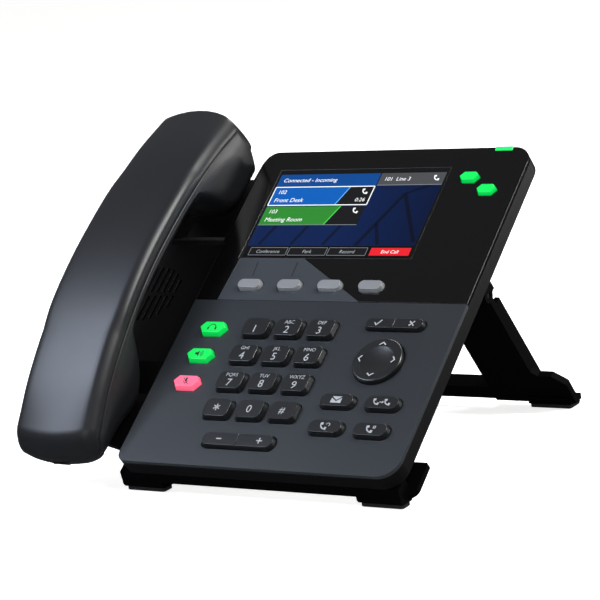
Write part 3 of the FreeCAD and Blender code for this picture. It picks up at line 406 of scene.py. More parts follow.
# ------------------------------------------------------------------ flat artwork
def block(low: Pair, high: Pair) -> list[Pair]:
    """Corners of a rectangle."""
    return [low, (high[0], low[1]), high, (low[0], high[1])]


def bow(middle: Pair, radius: float, first: int, last: int, step: int) -> list[Pair]:
    """Points on a circle from one angle to another, in degrees."""
    turns = [math.radians(a) for a in range(first, last + 1, step)]
    return [(middle[0] + radius * math.cos(a), middle[1] + radius * math.sin(a)) for a in turns]


def border(low: Pair, high: Pair, width: float) -> tuple[Line, ...]:
    """Four lines round a rectangle."""
    corners = block(low, high) + [low]
    return tuple(((first, last), width, 0.0) for first, last in zip(corners, corners[1:]))


class Marks:
    """Flat artwork in face millimetres, gathered into one mesh per finish."""

    def __init__(self) -> None:
        """Start with no shapes."""
        self.points: list[tuple[float, float, float]] = []
        self.faces: list[list[int]] = []

    def polygon(self, corners: Sequence[Pair], w: float) -> None:
        """Add a filled polygon.

        Args:
            corners: Corner points, anticlockwise as seen from outside.
            w: Height above the face.
        """
        start = len(self.points)
        self.points += [(u, v, w) for u, v in corners]
        self.faces.append(list(range(start, start + len(corners))))

    def stroke(self, line: Sequence[Pair], width: float, w: float) -> None:
        """Add a line of even width with mitred corners.

        Args:
            line: Points along its middle.
            width: Width of the line.
            w: Height above the face.
        """
        path = np.array(line, float)
        runs = np.diff(path, axis=0)
        runs /= np.linalg.norm(runs, axis=1)[:, None]
        normals = np.stack([-runs[:, 1], runs[:, 0]], 1)
        sides = []
        for index in range(len(path)):
            before = normals[max(index - 1, 0)]
            after = normals[min(index, len(normals) - 1)]
            middle = (before + after) / max(np.linalg.norm(before + after), 1e-6)
            sides.append(middle * width / 2 / max(float(middle @ after), 0.4))
        for index in range(len(path) - 1):
            a, b = path[index], path[index + 1]
            self.polygon([tuple(a - sides[index]), tuple(b - sides[index + 1]),
                          tuple(b + sides[index + 1]), tuple(a + sides[index])], w)

    def text(self, words: str, at: Pair, height: float, w: float, slant: float = 0.0,
             align: Align = Align.CENTRE) -> None:
        """Add one line of plain lettering.

        Args:
            words: What it says.
            at: Middle of the line, or its left end.
            height: Height of a capital letter.
            w: Height above the face.
            slant: Sideways lean per unit of height.
            align: Where the anchor lies.
        """
        curve = bpy.data.curves.new("lettering", "FONT")
        curve.body = words
        curve.size = height / CAP_HEIGHT
        curve.resolution_u = 3
        curve.align_x = align.value
        mesh = baked(new_object("lettering", curve), "lettering")
        start = len(self.points)
        for vertex in mesh.vertices:
            lean = slant * (vertex.co.y - height / 2)
            self.points.append((at[0] + vertex.co.x + lean, at[1] + vertex.co.y - height / 2, w))
        self.faces += [[start + i for i in face.vertices] for face in mesh.polygons]
        bpy.data.meshes.remove(mesh)

    def receiver(self, at: Pair, size: float, w: float) -> None:
        """Add the small sign of a lifted telephone receiver.

        Args:
            at: Middle of the sign.
            size: Its height.
            w: Height above the face.
        """
        centre = (at[0] + size * 0.42, at[1] + size * 0.42)
        reach = size * 0.86
        line = bow(centre, reach, 182, 268, 12)
        self.stroke(line, size * 0.17, w)
        for end, back in ((line[0], line[1]), (line[-1], line[-2])):
            toward = Vector((end[0] - back[0], end[1] - back[1])).normalized() * size * 0.17
            inward = Vector((centre[0] - end[0], centre[1] - end[1])).normalized() * size * 0.13
            spot = Vector(end) + inward
            self.stroke([tuple(spot - toward), tuple(spot + toward)], size * 0.42, w + 0.004)

    def build(self, name: str, finish: Plastic | Lit, body: str) -> bpy.types.Object:
        """Make the mesh, give it its finish and let it ride on a body.

        Args:
            name: Name of the piece.
            finish: Finish of every face.
            body: Body that carries it.

        Returns:
            The finished piece.
        """
        mesh = bpy.data.meshes.new(name)
        mesh.from_pydata(self.points, [], self.faces)
        mesh.transform(FACE.matrix())
        mesh.materials.append(finish.build())
        piece = new_object(name, mesh)
        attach(piece, body)
        log.info("%s: %d faces of artwork", name, len(self.faces))
        return piece


@dataclass(frozen=True)
class Artwork:
    """Shapes of one colour, in millimetres from an anchor point."""

    fills: tuple[Sequence[Pair], ...] = ()
    lines: tuple[Line, ...] = ()
    words: tuple[tuple[str, Pair, float, Align], ...] = ()
    receivers: tuple[tuple[Pair, float], ...] = ()
    slant: float = 0.0

    def draw(self, at: Pair, w: float) -> Marks:
        """Draw the shapes round an anchor point.

        Args:
            at: Anchor point in the face axes.
            w: Height above the face.

        Returns:
            The drawn marks.
        """
        def moved(points: Sequence[Pair]) -> list[Pair]:
            """Move points from the anchor's axes to the face axes."""
            return [(at[0] + a, at[1] + b) for a, b in points]

        marks = Marks()
        for points in self.fills:
            marks.polygon(moved(points), w)
        for points, width, lift in self.lines:
            marks.stroke(moved(points), width, w + lift)
        for words, spot, height, align in self.words:
            marks.text(words, moved([spot])[0], height, w, self.slant, align)
        for spot, size in self.receivers:
            marks.receiver(moved([spot])[0], size, w)
        return marks


# ------------------------------------------------------------------ moulded pieces
@dataclass(frozen=True)
class Skin:
    """A CAD solid with softened edges, shown in place of its sharp triangles."""

    node: str
    finish: Plastic
    edge: float = 0.3
    steps: int = 2
    crease: float = 28.0
    weld: float = 0.002
    sliver: float = 0.001
    flat: float = 0.4

    def build(self) -> bpy.types.Object:
        """Copy the solid, merge its facets, round its edges and dress it.

        Returns:
            The piece that stands for the CAD node.
        """
        mesh = frame["nodes"][self.node].data.copy()
        mesh.materials.clear()
        work = bmesh.new()
        work.from_mesh(mesh)
        bmesh.ops.remove_doubles(work, verts=work.verts, dist=self.weld * MM)
        bmesh.ops.dissolve_degenerate(work, edges=work.edges, dist=self.sliver * MM)
        bmesh.ops.dissolve_limit(work, angle_limit=math.radians(self.flat), verts=work.verts,
                                 edges=work.edges)
        bmesh.ops.recalc_face_normals(work, faces=work.faces)
        work.to_mesh(mesh)
        work.free()
        smooth_faces(mesh)
        piece = new_object(self.node + "_rounded", mesh)
        if self.edge > 0:
            bevel = piece.modifiers.new("soft_edges", "BEVEL")
            bevel.width = self.edge * MM
            bevel.segments = self.steps
            bevel.limit_method = "ANGLE"
            bevel.angle_limit = math.radians(self.crease)
            even = piece.modifiers.new("even_normals", "WEIGHTED_NORMAL")
            even.weight = 90
            even.keep_sharp = True
        finished = new_object(self.node + "_skin", baked(piece, self.node + "_skin"))
        finish_piece(finished, self.finish, frame["nodes"][self.node]["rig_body"], self.node)
        return finished


def dress(node: str, finish: Plastic) -> None:
    """Give a CAD node its finish, and leave its mesh alone."""
    slots = frame["nodes"][node].data.materials
    slots.clear()
    slots.append(finish.build())
    log.info("%s: %s", node, finish.name)


@dataclass
class Housing:
    """Plate, bezel, side wall, cradle, rear cover and their inner parts."""

    skins: tuple[Skin, ...] = (
        Skin("main_housing", ABS_BLACK, 0.35),
        Skin("rear_housing", ABS_BLACK, 0.3),
        Skin("keypad_plate", ABS_SLATE, 0.35),
        Skin("display_bezel", ACRYLIC_BLACK, 0.3),
        Skin("accent_panel", ACRYLIC_GREY, 0.06, 1),
        Skin("screen_lens", PC_WINDOW, 0.1),
        Skin("message_lamp", LIGHT_PIPE, 0.25),
        Skin("cover_screws", ZINC_STEEL, 0.15),
        Skin("network_jacks", NYLON_BLACK, 0.15),
        Skin("cord_jacks", NYLON_BLACK, 0.15),
        Skin("power_jack", NYLON_BLACK, 0.12),
        Skin("hook_plunger", ABS_BLACK, 0.0),
    )
    inner: dict[str, Plastic] = field(default_factory=lambda: {
        "lcd_module": TIN_FRAME, "key_membrane": SILICONE, "main_board": SOLDER_MASK,
        "loudspeaker": BLACK_STEEL, "hook_switch": NYLON_BLACK, "navigation_plate": NYLON_BLACK})

    def build(self) -> None:
        """Make every skin and dress the inner parts."""
        for skin in self.skins:
            skin.build()
        for node, finish in self.inner.items():
            dress(node, finish)


@dataclass
class Stand:
    """Front foot bar, hinged rear legs and their rubber pads."""

    skins: tuple[Skin, ...] = (
        # The foot bar and the legs take the stand's black, painted darker than the housing as shade under
        # the telephone.
        Skin("front_foot_bar", ABS_STAND, 0.4),
        Skin("leg_frame", ABS_STAND, 0.45),
        Skin("front_foot_pads", NITRILE, 0.3),
        Skin("rear_foot_pads", NITRILE, 0.3),
        Skin("stand_screws", ZINC_STEEL, 0.15),
        Skin("leg_pins", BLACK_OXIDE, 0.15),
    )

    def build(self) -> None:
        """Make every skin."""
        for skin in self.skins:
            skin.build()


# ------------------------------------------------------------------ keys
def cap_centre(node: str) -> tuple[float, float, float]:
    """Middle of a key in the face axes, and the height of its print."""
    low, high = FACE.extent(node)
    return (low.x + high.x) / 2, (low.y + high.y) / 2, high.z + PRINT_LIFT


@dataclass(frozen=True)
class DialKey:
    """One dial key: its figure, and the small letters above it."""

    figure: str
    letters: str = ""

    def mark(self, node: str) -> None:
        """Print the key's figure and letters on its cap.

        Args:
            node: CAD node of the key.
        """
        u, v, top = cap_centre(node)
        marks = Marks()
        drop = -1.4 if self.letters or self.figure == "1" else 0.0
        height = 4.3 if self.figure.isdigit() else 3.8
        if self.figure == "*":
            for turn in (90, 150, 210):
                marks.stroke(bow((u, v), 1.9, turn, turn + 180, 180)[::-1], 0.55, top)
        else:
            marks.text(self.figure, (u, v + drop), height, top)
        if self.letters:
            marks.text(self.letters, (u, v + 3.0), 2.05, top)
        marks.build(node + "_figure", INK_WHITE, node)


# What each key carries, in millimetres from the middle of its cap.
SIGNS: dict[str, tuple[Plastic, Artwork]] = {
    # A head band with two ear pads.
    "key_headset": (INK_DARK, Artwork(
        fills=tuple(block((side - 0.45, -1.6), (side + 0.45, -0.1)) for side in (-2.1, 2.1)),
        lines=((bow((0, -0.5), 2.0, 0, 180, 20), 0.4, 0),))),
    # A loudspeaker with two sound waves.
    "key_speaker": (INK_DARK, Artwork(
        fills=(block((-2.4, -0.6), (-1.3, 0.6)), [(-1.3, -0.6), (-0.1, -1.6), (-0.1, 1.6), (-1.3, 0.6)]),
        lines=tuple((bow((-0.1, 0), reach, -45, 45, 15), 0.38, 0) for reach in (1.1, 2.1)))),
    # A crossed microphone.
    "key_mute": (INK_DARK, Artwork(
        fills=(block((-0.55, -0.4), (0.55, 1.9)), block((-0.16, -2.0), (0.16, -1.0))),
        lines=((bow((0, 0.1), 1.2, 180, 360, 20), 0.32, 0), ([(-1.9, 1.8), (1.9, -1.9)], 0.36, 0.01)))),
    # An envelope and its flap.
    "key_voicemail": (INK_WHITE, Artwork(
        fills=([(-2.7, -1.8), (2.7, -1.8), (2.7, 1.0), (0, -0.9), (-2.7, 1.0)],
               [(-2.6, 1.8), (0, -0.2), (2.6, 1.8)]))),
    # An arrow between two receivers.
    "key_transfer": (INK_WHITE, Artwork(
        fills=([(0.3, -0.8), (1.2, 0), (0.3, 0.8)],), lines=(([(-1.1, 0), (0.6, 0)], 0.42, 0),),
        receivers=(((-2.9, 0), 3.2), ((2.9, 0), 3.2)))),
    # A receiver and a returning bow.
    "key_redial": (INK_WHITE, Artwork(
        lines=((bow((1.5, 0.8), 0.9, -60, 180, 30), 0.34, 0),), receivers=(((-0.7, -0.2), 3.6),))),
    # A receiver and two bars.
    "key_hold": (INK_WHITE, Artwork(
        fills=tuple(block((side, 0.3), (side + 0.45, 1.9)) for side in (1.3, 2.15)),
        receivers=(((-0.3, -0.2), 3.6),))),
    # A tick on the left half and a cross on the right.
    "select_rocker": (INK_WHITE, Artwork(lines=(
        ([(-10.4, 0.1), (-9.2, -1.3), (-6.9, 1.6)], 0.6, 0),
        ([(8.0, 1.3), (10.6, -1.3)], 0.6, -0.005), ([(8.0, -1.3), (10.6, 1.3)], 0.6, 0.005)))),
    # Minus on the left half and plus on the right.
    "volume_rocker": (INK_WHITE, Artwork(lines=(
        ([(-11.4, 0), (-8.6, 0)], 0.6, 0), ([(10.6, 0), (13.8, 0)], 0.6, 0),
        ([(12.2, -1.6), (12.2, 1.6)], 0.6, 0.01)))),
}


@dataclass
class Keys:
    """Every key and rocker, with its cap finish and printed sign."""

    dial: dict[str, DialKey] = field(default_factory=lambda: {
        "key_1": DialKey("1"), "key_2": DialKey("2", "ABC"), "key_3": DialKey("3", "DEF"),
        "key_4": DialKey("4", "GHI"), "key_5": DialKey("5", "JKL"), "key_6": DialKey("6", "MNO"),
        "key_7": DialKey("7", "PQRS"), "key_8": DialKey("8", "TUV"), "key_9": DialKey("9", "WXYZ"),
        "key_star": DialKey("*"), "key_0": DialKey("0"), "key_hash": DialKey("#")})
    soft: tuple[str, ...] = ("soft_key_1", "soft_key_2", "soft_key_3", "soft_key_4")
    green: tuple[str, ...] = ("key_headset", "key_speaker", "line_key_1", "line_key_2")
    black: tuple[str, ...] = ("key_voicemail", "key_transfer", "key_redial", "key_hold",
                              "select_rocker", "volume_rocker")

    def build(self) -> None:
        """Make the caps and print their signs."""
        for node, key in self.dial.items():
            Skin(node, PC_KEY, 0.45, 3).build()
            key.mark(node)
        for node in self.black:
            Skin(node, PC_KEY, 0.4, 3).build()
        for node in self.soft:
            Skin(node, PAINT_SILVER, 0.45, 3).build()
        for node in self.green:
            Skin(node, PC_GREEN, 0.4, 3).build()
        Skin("key_mute", PC_RED, 0.4, 3).build()
        Skin("navigation_pad", PC_KEY, 0.1, 2).build()
        for node, (ink, art) in SIGNS.items():
            u, v, w = cap_centre(node)
            art.draw((u, v), w).build(node + "_sign", ink, node)
        self.mark_navigation()

    def mark_navigation(self) -> None:
        """Print four chevrons in the dish of the navigation pad, near its rim."""
        u, v, rim = cap_centre("navigation_pad")
        reach, dish_radius, dish_depth, lift = 8.8, 34.0, 1.1, 0.06
        rise = dish_radius - math.sqrt(dish_radius ** 2 - (reach + 1.0) ** 2)
        w = rim - PRINT_LIFT - dish_depth + rise + lift
        marks = Marks()
        for quarter in range(4):
            a = math.radians(90 * quarter)
            out = Vector((math.cos(a), math.sin(a)))
            side = Vector((-out.y, out.x))
            tip = Vector((u, v)) + out * (reach + 0.7)
            wings = [tip - out * 1.4 + side * 1.7, tip, tip - out * 1.4 - side * 1.7]
            marks.stroke([(p.x, p.y) for p in wings], 0.65, w)
        marks.build("navigation_pad_signs", INK_WHITE, "navigation_pad")


# ------------------------------------------------------------------ display
@dataclass
class Display:
    """Lit picture of the display, built of thin layers just over the window."""

    width: float = 95.04
    height: float = 53.86
    base_w: float = -0.17
    step: float = 0.03
    fading: tuple[str, ...] = ("screen_wallpaper", "screen_bands")
    bands: tuple[Line, ...] = (
        ([(62.0, 7.4), (77.0, 40.5)], 2.2, 0), ([(77.0, 40.5), (93.4, 10.0)], 2.0, 0),
        ([(68.4, 21.5), (74.4, 8.0)], 1.8, 0), ([(77.0, 40.5), (90.0, 46.0)], 1.2, 0),
        ([(6.4, 8.0), (11.6, 20.4)], 1.8, 0), ([(25.0, 8.0), (30.2, 20.4)], 1.8, 0),
        ([(43.4, 8.0), (49.0, 20.4)], 1.8, 0))

    def corner(self) -> Pair:
        """Lower left corner of the lit area, from the panel's window in the CAD."""
        low, high = FACE.extent("lcd_module")
        border = ((high.x - low.x) - self.width) / 2
        return low.x + border, (low.y + high.y) / 2 - self.height / 2

    def build(self) -> None:
        """Make the picture: wallpaper, header, two call rows and four soft-key labels."""
        for name, colour, power, level, art in self.layers():
            marks = art.draw(self.corner(), self.base_w + self.step * level)
            light = Lit("display_" + name, colour, power, fade=name in self.fading)
            marks.build(name, light, Body.BASE.value)

    def layers(self) -> tuple[tuple[str, str, float, int, Artwork], ...]:
        """Layers from the wallpaper up.

        Returns:
            For each, its name, its sRGB colour, the strength of its light, its level and its shapes.
        """
        wide, high = self.width, self.height
        foot, head, row_end = 7.2, 46.1, 57.6
        blue_low, blue_high, green_low, green_high = 33.4, 45.4, 20.8, 32.6
        fields = tuple(((left, 1.2), (left + 21.6, 6.0)) for left in (3.2, 25.9, 48.6))
        left = Align.LEFT
        return (
            ("screen_wallpaper", "0b2250", 0.66, 0, Artwork((block((0, foot), (wide, high)),))),
            ("screen_footer", "08090b", 0.5, 0, Artwork((block((0, 0), (wide, foot)),))),
            ("screen_bands", "0a1530", 0.7, 1, Artwork(lines=self.bands)),
            ("screen_header_blue", "0a4488", 0.85, 2, Artwork((block((0, head), (58.2, high)),))),
            ("screen_header_grey", "4a4b4e", 0.8, 2, Artwork((block((58.8, head), (wide, high)),))),
            ("screen_row_dark", "1b1b1d", 0.6, 2, Artwork(
                (block((38.0, blue_low), (58.2, blue_high)), block((37.0, green_low), (row_end, green_high)))
                + tuple(block(*corners) for corners in fields))),
            ("screen_row_blue", "0a59ac", 0.86, 3, Artwork(
                ([(0.4, blue_low), (39.6, blue_low), (44.2, blue_high), (0.4, blue_high)],))),
            ("screen_row_green", "2b7c2c", 1.0, 3, Artwork(
                ([(0.4, green_low), (38.6, green_low), (43.6, green_high), (0.4, green_high)],))),
            ("screen_end_red", "d3202a", 1.0, 3, Artwork((block((72.2, 1.2), (94.2, 6.0)),))),
            ("screen_edges_lime", "3fc24a", 1.0, 4, Artwork(
                lines=(([(38.6, green_low), (43.6, green_high)], 0.7, 0),))),
            ("screen_edges_sky", "5aa5ea", 1.0, 4, Artwork(
                lines=(([(39.6, blue_low), (44.2, blue_high)], 0.6, 0),))),
            ("screen_lines_grey", "808488", 0.8, 4, Artwork(
                lines=(([(58.8, 46.0), (wide, 46.0)], 0.4, 0), ([(0.4, 20.6), (row_end, 20.6)], 0.35, 0))
                + tuple(line for corners in fields for line in border(*corners, 0.28)))),
            ("screen_words", "f2f4f6", 1.0, 5, Artwork(
                lines=border((0.4, blue_low), (58.0, blue_high), 0.55),
                words=(("Connected - Incoming", (3.0, 50.0), 2.55, left),
                       ("101  Line 3", (61.6, 50.0), 2.4, left),
                       ("102", (3.0, 42.2), 2.5, left), ("Front Desk", (3.0, 36.9), 2.7, left),
                       ("103", (3.0, 29.5), 2.5, left), ("Meeting Room", (3.0, 24.2), 2.7, left),
                       ("0:26", (53.0, 36.8), 2.4, Align.CENTRE),
                       ("End Call", (83.2, 3.6), 2.1, Align.CENTRE)),
                receivers=(((53.6, 42.0), 3.2), ((53.2, 29.6), 3.2), ((90.6, 50.2), 3.2)), slant=0.1)),
            ("screen_words_dim", "a4a8ab", 0.8, 5, Artwork(
                words=tuple((words, (middle, 3.6), 2.1, Align.CENTRE) for words, middle in
                            (("Conference", 14.0), ("Park", 36.7), ("Record", 59.4))), slant=0.1)),
        )

    def build_leads(self) -> None:
        """Print the two thin lines that join the first soft keys to their labels."""
        marks = Marks()
        for low, high in (((26.6, 112.0), (25.9, 121.0)), ((49.2, 112.0), (48.9, 121.0))):
            marks.stroke([low, high], 0.6, PRINT_LIFT)
        marks.build("accent_lead_lines", INK_DARK, Body.BASE.value)


# ------------------------------------------------------------------ handset
@dataclass
class Handset:
    """Handset of two shells, swept along its side outline, with its sound holes."""

    half_width: float = 24.0
    middle_u: float = -32.0
    back: tuple[Pair, ...] = ((2.0, 15.5), (22.0, 22.6), (44.0, 29.0), (70.0, 34.1), (95.0, 36.5),
                              (118.0, 36.6), (155.0, 34.0), (198.5, 26.8))
    under: tuple[Pair, ...] = ((8.8, -8.8), (26.0, -10.0), (44.0, -11.0), (49.5, -7.2), (55.5, -0.5),
                               (64.5, 12.5), (70.0, 16.0), (78.0, 17.4), (92.0, 17.5), (106.0, 17.5),
                               (120.0, 17.5), (134.0, 17.4), (141.0, 14.6), (147.5, 8.0),
                               (157.5, -7.5), (162.5, -12.2), (168.0, -13.9), (180.0, -14.0),
                               (193.0, -14.0))
    low_tip: Pair = (-4.2, 1.5)
    top_tip: Pair = (201.0, 6.0)
    part_depth: float = 8.0
    stations: int = 132
    cap_steps: int = 14
    corner_round: Pair = (7.0, 9.0)
    corner_width: Pair = (0.93, 0.93)
    end_radius: Pair = (60.0, 44.0)
    end_reach: float = 34.0
    crease: float = 38.0
    ear: Pair = (180.5, 0.9)
    mouth: Pair = (26.0, 0.8)

    def smooth(self, points: Sequence[Pair], at: np.ndarray) -> np.ndarray:
        """Read a natural cubic spline through points whose v rises.

        Args:
            points: Points of the outline as (v, w).
            at: The v values to read.

        Returns:
            The w values.
        """
        x, y = np.array(points, float).T
        gap = np.diff(x)
        size = len(x)
        system = np.eye(size)
        right = np.zeros(size)
        for i in range(1, size - 1):
            system[i, i - 1:i + 2] = gap[i - 1], 2 * (gap[i - 1] + gap[i]), gap[i]
            right[i] = 6 * ((y[i + 1] - y[i]) / gap[i] - (y[i] - y[i - 1]) / gap[i - 1])
        bend = np.linalg.solve(system, right)
        i = np.clip(np.searchsorted(x, at) - 1, 0, size - 2)
        h, a, b = gap[i], x[i + 1] - at, at - x[i]
        return ((bend[i] * a ** 3 + bend[i + 1] * b ** 3) / (6 * h) + (y[i] / h - bend[i] * h / 6) * a
                + (y[i + 1] / h - bend[i + 1] * h / 6) * b)

    def arc(self, start: Pair, tip: Pair, end: Pair, steps: int) -> list[Pair]:
        """Points on the circle through three points, from the tip to the start.

        Args:
            start: First end of the arc.
            tip: Point where the cap is furthest out.
            end: Other end of the arc.
            steps: Number of points before the start.

        Returns:
            Points from the tip towards the start, without the start itself.
        """
        ax, ay = start
        bx, by = tip
        cx, cy = end
        d = 2 * (ax * (by - cy) + bx * (cy - ay) + cx * (ay - by))
        ox = ((ax ** 2 + ay ** 2) * (by - cy) + (bx ** 2 + by ** 2) * (cy - ay)
              + (cx ** 2 + cy ** 2) * (ay - by)) / d
        oy = ((ax ** 2 + ay ** 2) * (cx - bx) + (bx ** 2 + by ** 2) * (ax - cx)
              + (cx ** 2 + cy ** 2) * (bx - ax)) / d
        radius = math.hypot(ax - ox, ay - oy)
        first = math.atan2(by - oy, bx - ox)
        last = math.atan2(ay - oy, ax - ox)
        turn = (last - first + math.pi) % (2 * math.pi) - math.pi
        spots = []
        for index in range(steps):
            angle = first + turn * (index / steps) ** 0.8
            spots.append((ox + radius * math.cos(angle), oy + radius * math.sin(angle)))
        return spots

    def rails(self) -> tuple[list[Pair], list[Pair]]:
        """Matched points of the back line and the under line.

        Returns:
            Upper points and lower points.
        """
        share = np.linspace(0, 1, self.stations)
        top_v = self.back[0][0] + share * (self.back[-1][0] - self.back[0][0])
        low_v = self.under[0][0] + share * (self.under[-1][0] - self.under[0][0])
        upper = list(zip(top_v, self.smooth(self.back, top_v)))
        lower = list(zip(low_v, self.smooth(self.under, low_v)))
        n = self.cap_steps
        up0 = self.arc(self.back[0], self.low_tip, self.under[0], n)
        lo0 = self.arc(self.under[0], self.low_tip, self.back[0], n)
        up1 = self.arc(self.back[-1], self.top_tip, self.under[-1], n)[::-1]
        lo1 = self.arc(self.under[-1], self.top_tip, self.back[-1], n)[::-1]
        return up0 + upper + up1, lo0 + lower + lo1

    def bow_ends(self, mesh: bpy.types.Mesh) -> None:
        """Bow the ends of a straight shell across its width and round their corners.

        Args:
            mesh: Shell in the row frame. It is changed.
        """
        back = FACE.matrix().inverted()
        for vertex in mesh.vertices:
            spot = back @ vertex.co
            half = spot.x - self.middle_u
            gaps = (spot.y - self.low_tip[0], self.top_tip[0] - spot.y)
            end = 0 if gaps[0] < gaps[1] else 1
            near = 1 - min(max(gaps[end], 0.0) / self.end_reach, 1.0)
            share = 1 - min(max(gaps[end], 0.0) / self.corner_round[end], 1.0)
            least = self.corner_width[end]
            half *= least + (1 - least) * (1 - share ** 2.2) ** (1 / 2.2)
            drop = self.end_radius[end] - math.sqrt(self.end_radius[end] ** 2 - half ** 2)
            shift = drop * near * near * (3 - 2 * near)
            vertex.co = FACE.matrix() @ Vector((self.middle_u + half,
                                                spot.y + (shift if end == 0 else -shift), spot.z))

    def section(self, height: float, upper: bool) -> list[Pair]:
        """Half cross-section of one shell as (half-width, depth below the back).

        Args:
            height: Distance from the back line to the under line.
            upper: True for the outer back shell.

        Returns:
            Points from the middle of the shell's outside to its inside.
        """
        s = min(1.0, height / 30.0)
        part = min(self.part_depth, height * 0.5)
        w = self.half_width
        if upper:
            line = [(0.0, 0.0), (6.0, 0.05), (12.0, 0.2), (16.5, 0.42), (18.8, 0.66), (20.0, 1.0),
                    (21.1, 1.7), (22.3, 2.9), (23.2, 4.4), (23.75, 6.0)]
            points = [(a, t * s) for a, t in line]
            return points + [(w - 0.15, part - 0.55 * s), (w - 0.25, part - 0.25 * s),
                             (w - 0.6, part - 0.06 * s), (w - 2.4, part - 0.06 * s)]
        rest = height - part
        round_w, round_t = 11.0, min(12.0, rest * 0.8)
        points = [(w - 2.4, part + 0.06 * s), (w - 0.6, part + 0.06 * s), (w - 0.25, part + 0.3 * s),
                  (w - 0.05, part + 0.7 * s), (w, part + 0.22 * rest)]
        for step in range(9):
            angle = math.pi / 2 * step / 8
            points.append((w - round_w + round_w * math.cos(angle) * (1 - 0.12 * math.sin(2 * angle)),
                           height - round_t + round_t * math.sin(angle) * (1 - 0.12 * math.sin(2 * angle))))
        return points + [(w * 0.35, height), (0.0, height)]

    def shell(self, name: str, node: str, upper: bool) -> bpy.types.Object:
        """Sweep one shell and let it stand for its CAD node.

        Args:
            name: Name of the piece.
            node: CAD node that it replaces.
            upper: True for the outer back shell.

        Returns:
            The finished piece.
        """
        rings = []
        for (tv, tw), (lv, lw) in zip(*self.rails()):
            height = max(math.hypot(lv - tv, lw - tw), 0.02)
            run = ((lv - tv) / height, (lw - tw) / height)
            half = self.section(height, upper)
            side = [(self.middle_u + a, tv + run[0] * t, tw + run[1] * t) for a, t in half]
            if upper:
                other = [(2 * self.middle_u - u, v, w) for u, v, w in reversed(side[1:])]
            else:
                other = [(2 * self.middle_u - u, v, w) for u, v, w in reversed(side[:-1])]
            rings.append(side + other if not upper else other + side)
        count = len(rings[0])
        work = bmesh.new()
        grid = [[work.verts.new(p) for p in ring] for ring in rings]
        for first, last in zip(grid, grid[1:]):
            for index in range(count):
                after = (index + 1) % count
                work.faces.new((first[index], first[after], last[after], last[index]))
        work.faces.new(grid[0])
        work.faces.new(list(reversed(grid[-1])))
        bmesh.ops.remove_doubles(work, verts=work.verts, dist=0.005)
        bmesh.ops.recalc_face_normals(work, faces=work.faces)
        mesh = bpy.data.meshes.new(name)
        work.to_mesh(mesh)
        work.free()
        mesh.transform(FACE.matrix())
        piece = new_object(name + "_blank", mesh)
        if not upper:
            self.cut(piece)
        finished = new_object(name, baked(piece, name))
        self.bow_ends(finished.data)
        smooth_faces(finished.data)
        finished.data.set_sharp_from_angle(angle=math.radians(self.crease))
        finish_piece(finished, ABS_HANDSET, Body.HANDSET.value, node)
        return finished

    def cut(self, piece: bpy.types.Object) -> None:
        """Cut the sound holes and the cord socket's opening into the inner shell."""
        ear_w, mouth_w = -13.4, -9.6
        rings = ((4.0, 6, self.ear, ear_w), (8.0, 12, self.ear, ear_w),
                 (3.0, 2, self.mouth, mouth_w), (0.0, 1, self.mouth, mouth_w))
        cutters = [HoleRing(ring, count, radius).mesh((self.middle_u, v, w))
                   for ring, count, (v, radius), w in rings]
        cutters.append(self.socket_cutter())
        for index, mesh in enumerate(cutters):
            cutter = new_object("cutter_%d" % index, mesh)
            change = piece.modifiers.new("cut_%d" % index, "BOOLEAN")
            change.operation = "DIFFERENCE"
            change.solver = "EXACT"
            change.object = cutter
            evaluated = baked_copy(piece)
            piece.modifiers.clear()
            piece.data = evaluated
            bpy.data.objects.remove(cutter)

    def socket_cutter(self) -> bpy.types.Mesh:
        """Block the size of the cord socket."""
        low, high = FACE.extent("handset_socket")
        work = bmesh.new()
        corners = bmesh.ops.create_cube(work, size=1.0)["verts"]
        size = Vector((high.x - low.x + 0.1, high.y - low.y + 10.0, high.z - low.z + 0.1))
        centre = Vector(((low.x + high.x) / 2, (low.y + high.y) / 2 - 4.9, (low.z + high.z) / 2))
        for vertex in corners:
            vertex.co = Vector(a * b for a, b in zip(vertex.co, size)) + centre
        mesh = bpy.data.meshes.new("socket_cutter")
        work.to_mesh(mesh)
        work.free()
        mesh.transform(FACE.matrix())
        return mesh

    def build(self) -> None:
        """Make both shells and dress the parts inside them."""
        self.shell("handset_outer_shell", "handset_back", True)
        self.shell("handset_inner_shell", "handset_face", False)
        dress("handset_receiver", BLACK_STEEL)
        dress("handset_microphone", NYLON_BLACK)
        dress("handset_ballast", BLACK_STEEL)
        Skin("handset_socket", NYLON_BLACK, 0.1).build()


# ------------------------------------------------------------------ repeated small parts
def grown_mesh(tree: bpy.types.NodeTree, name: str, values: dict[str, Any]) -> bpy.types.Mesh:
    """Run a geometry tree with the given inputs and keep the result as a plain mesh.

    Args:
        tree: Geometry tree that makes its own mesh.
        name: Name of the new mesh.
        values: Input values by input name.

    Returns:
        The plain mesh.
    """
    piece = new_object(name, bpy.data.meshes.new(name))
    change = piece.modifiers.new("grow", "NODES")
    change.node_group = tree
    for item in tree.interface.items_tree:
        if item.item_type == "SOCKET" and item.in_out == "INPUT" and item.name in values:
            change[item.identifier] = values[item.name]
    return baked(piece, name)


def new_tree(name: str, inputs: dict[str, tuple[str, Any]]) -> bpy.types.NodeTree:
    """Start a geometry tree with named inputs and one geometry output."""
    tree = bpy.data.node_groups.new(name, "GeometryNodeTree")
    for label, (kind, value) in inputs.items():
        socket = tree.interface.new_socket(name=label, in_out="INPUT", socket_type=kind)
        socket.default_value = value
    tree.interface.new_socket(name="Geometry", in_out="OUTPUT", socket_type="NodeSocketGeometry")
    return tree


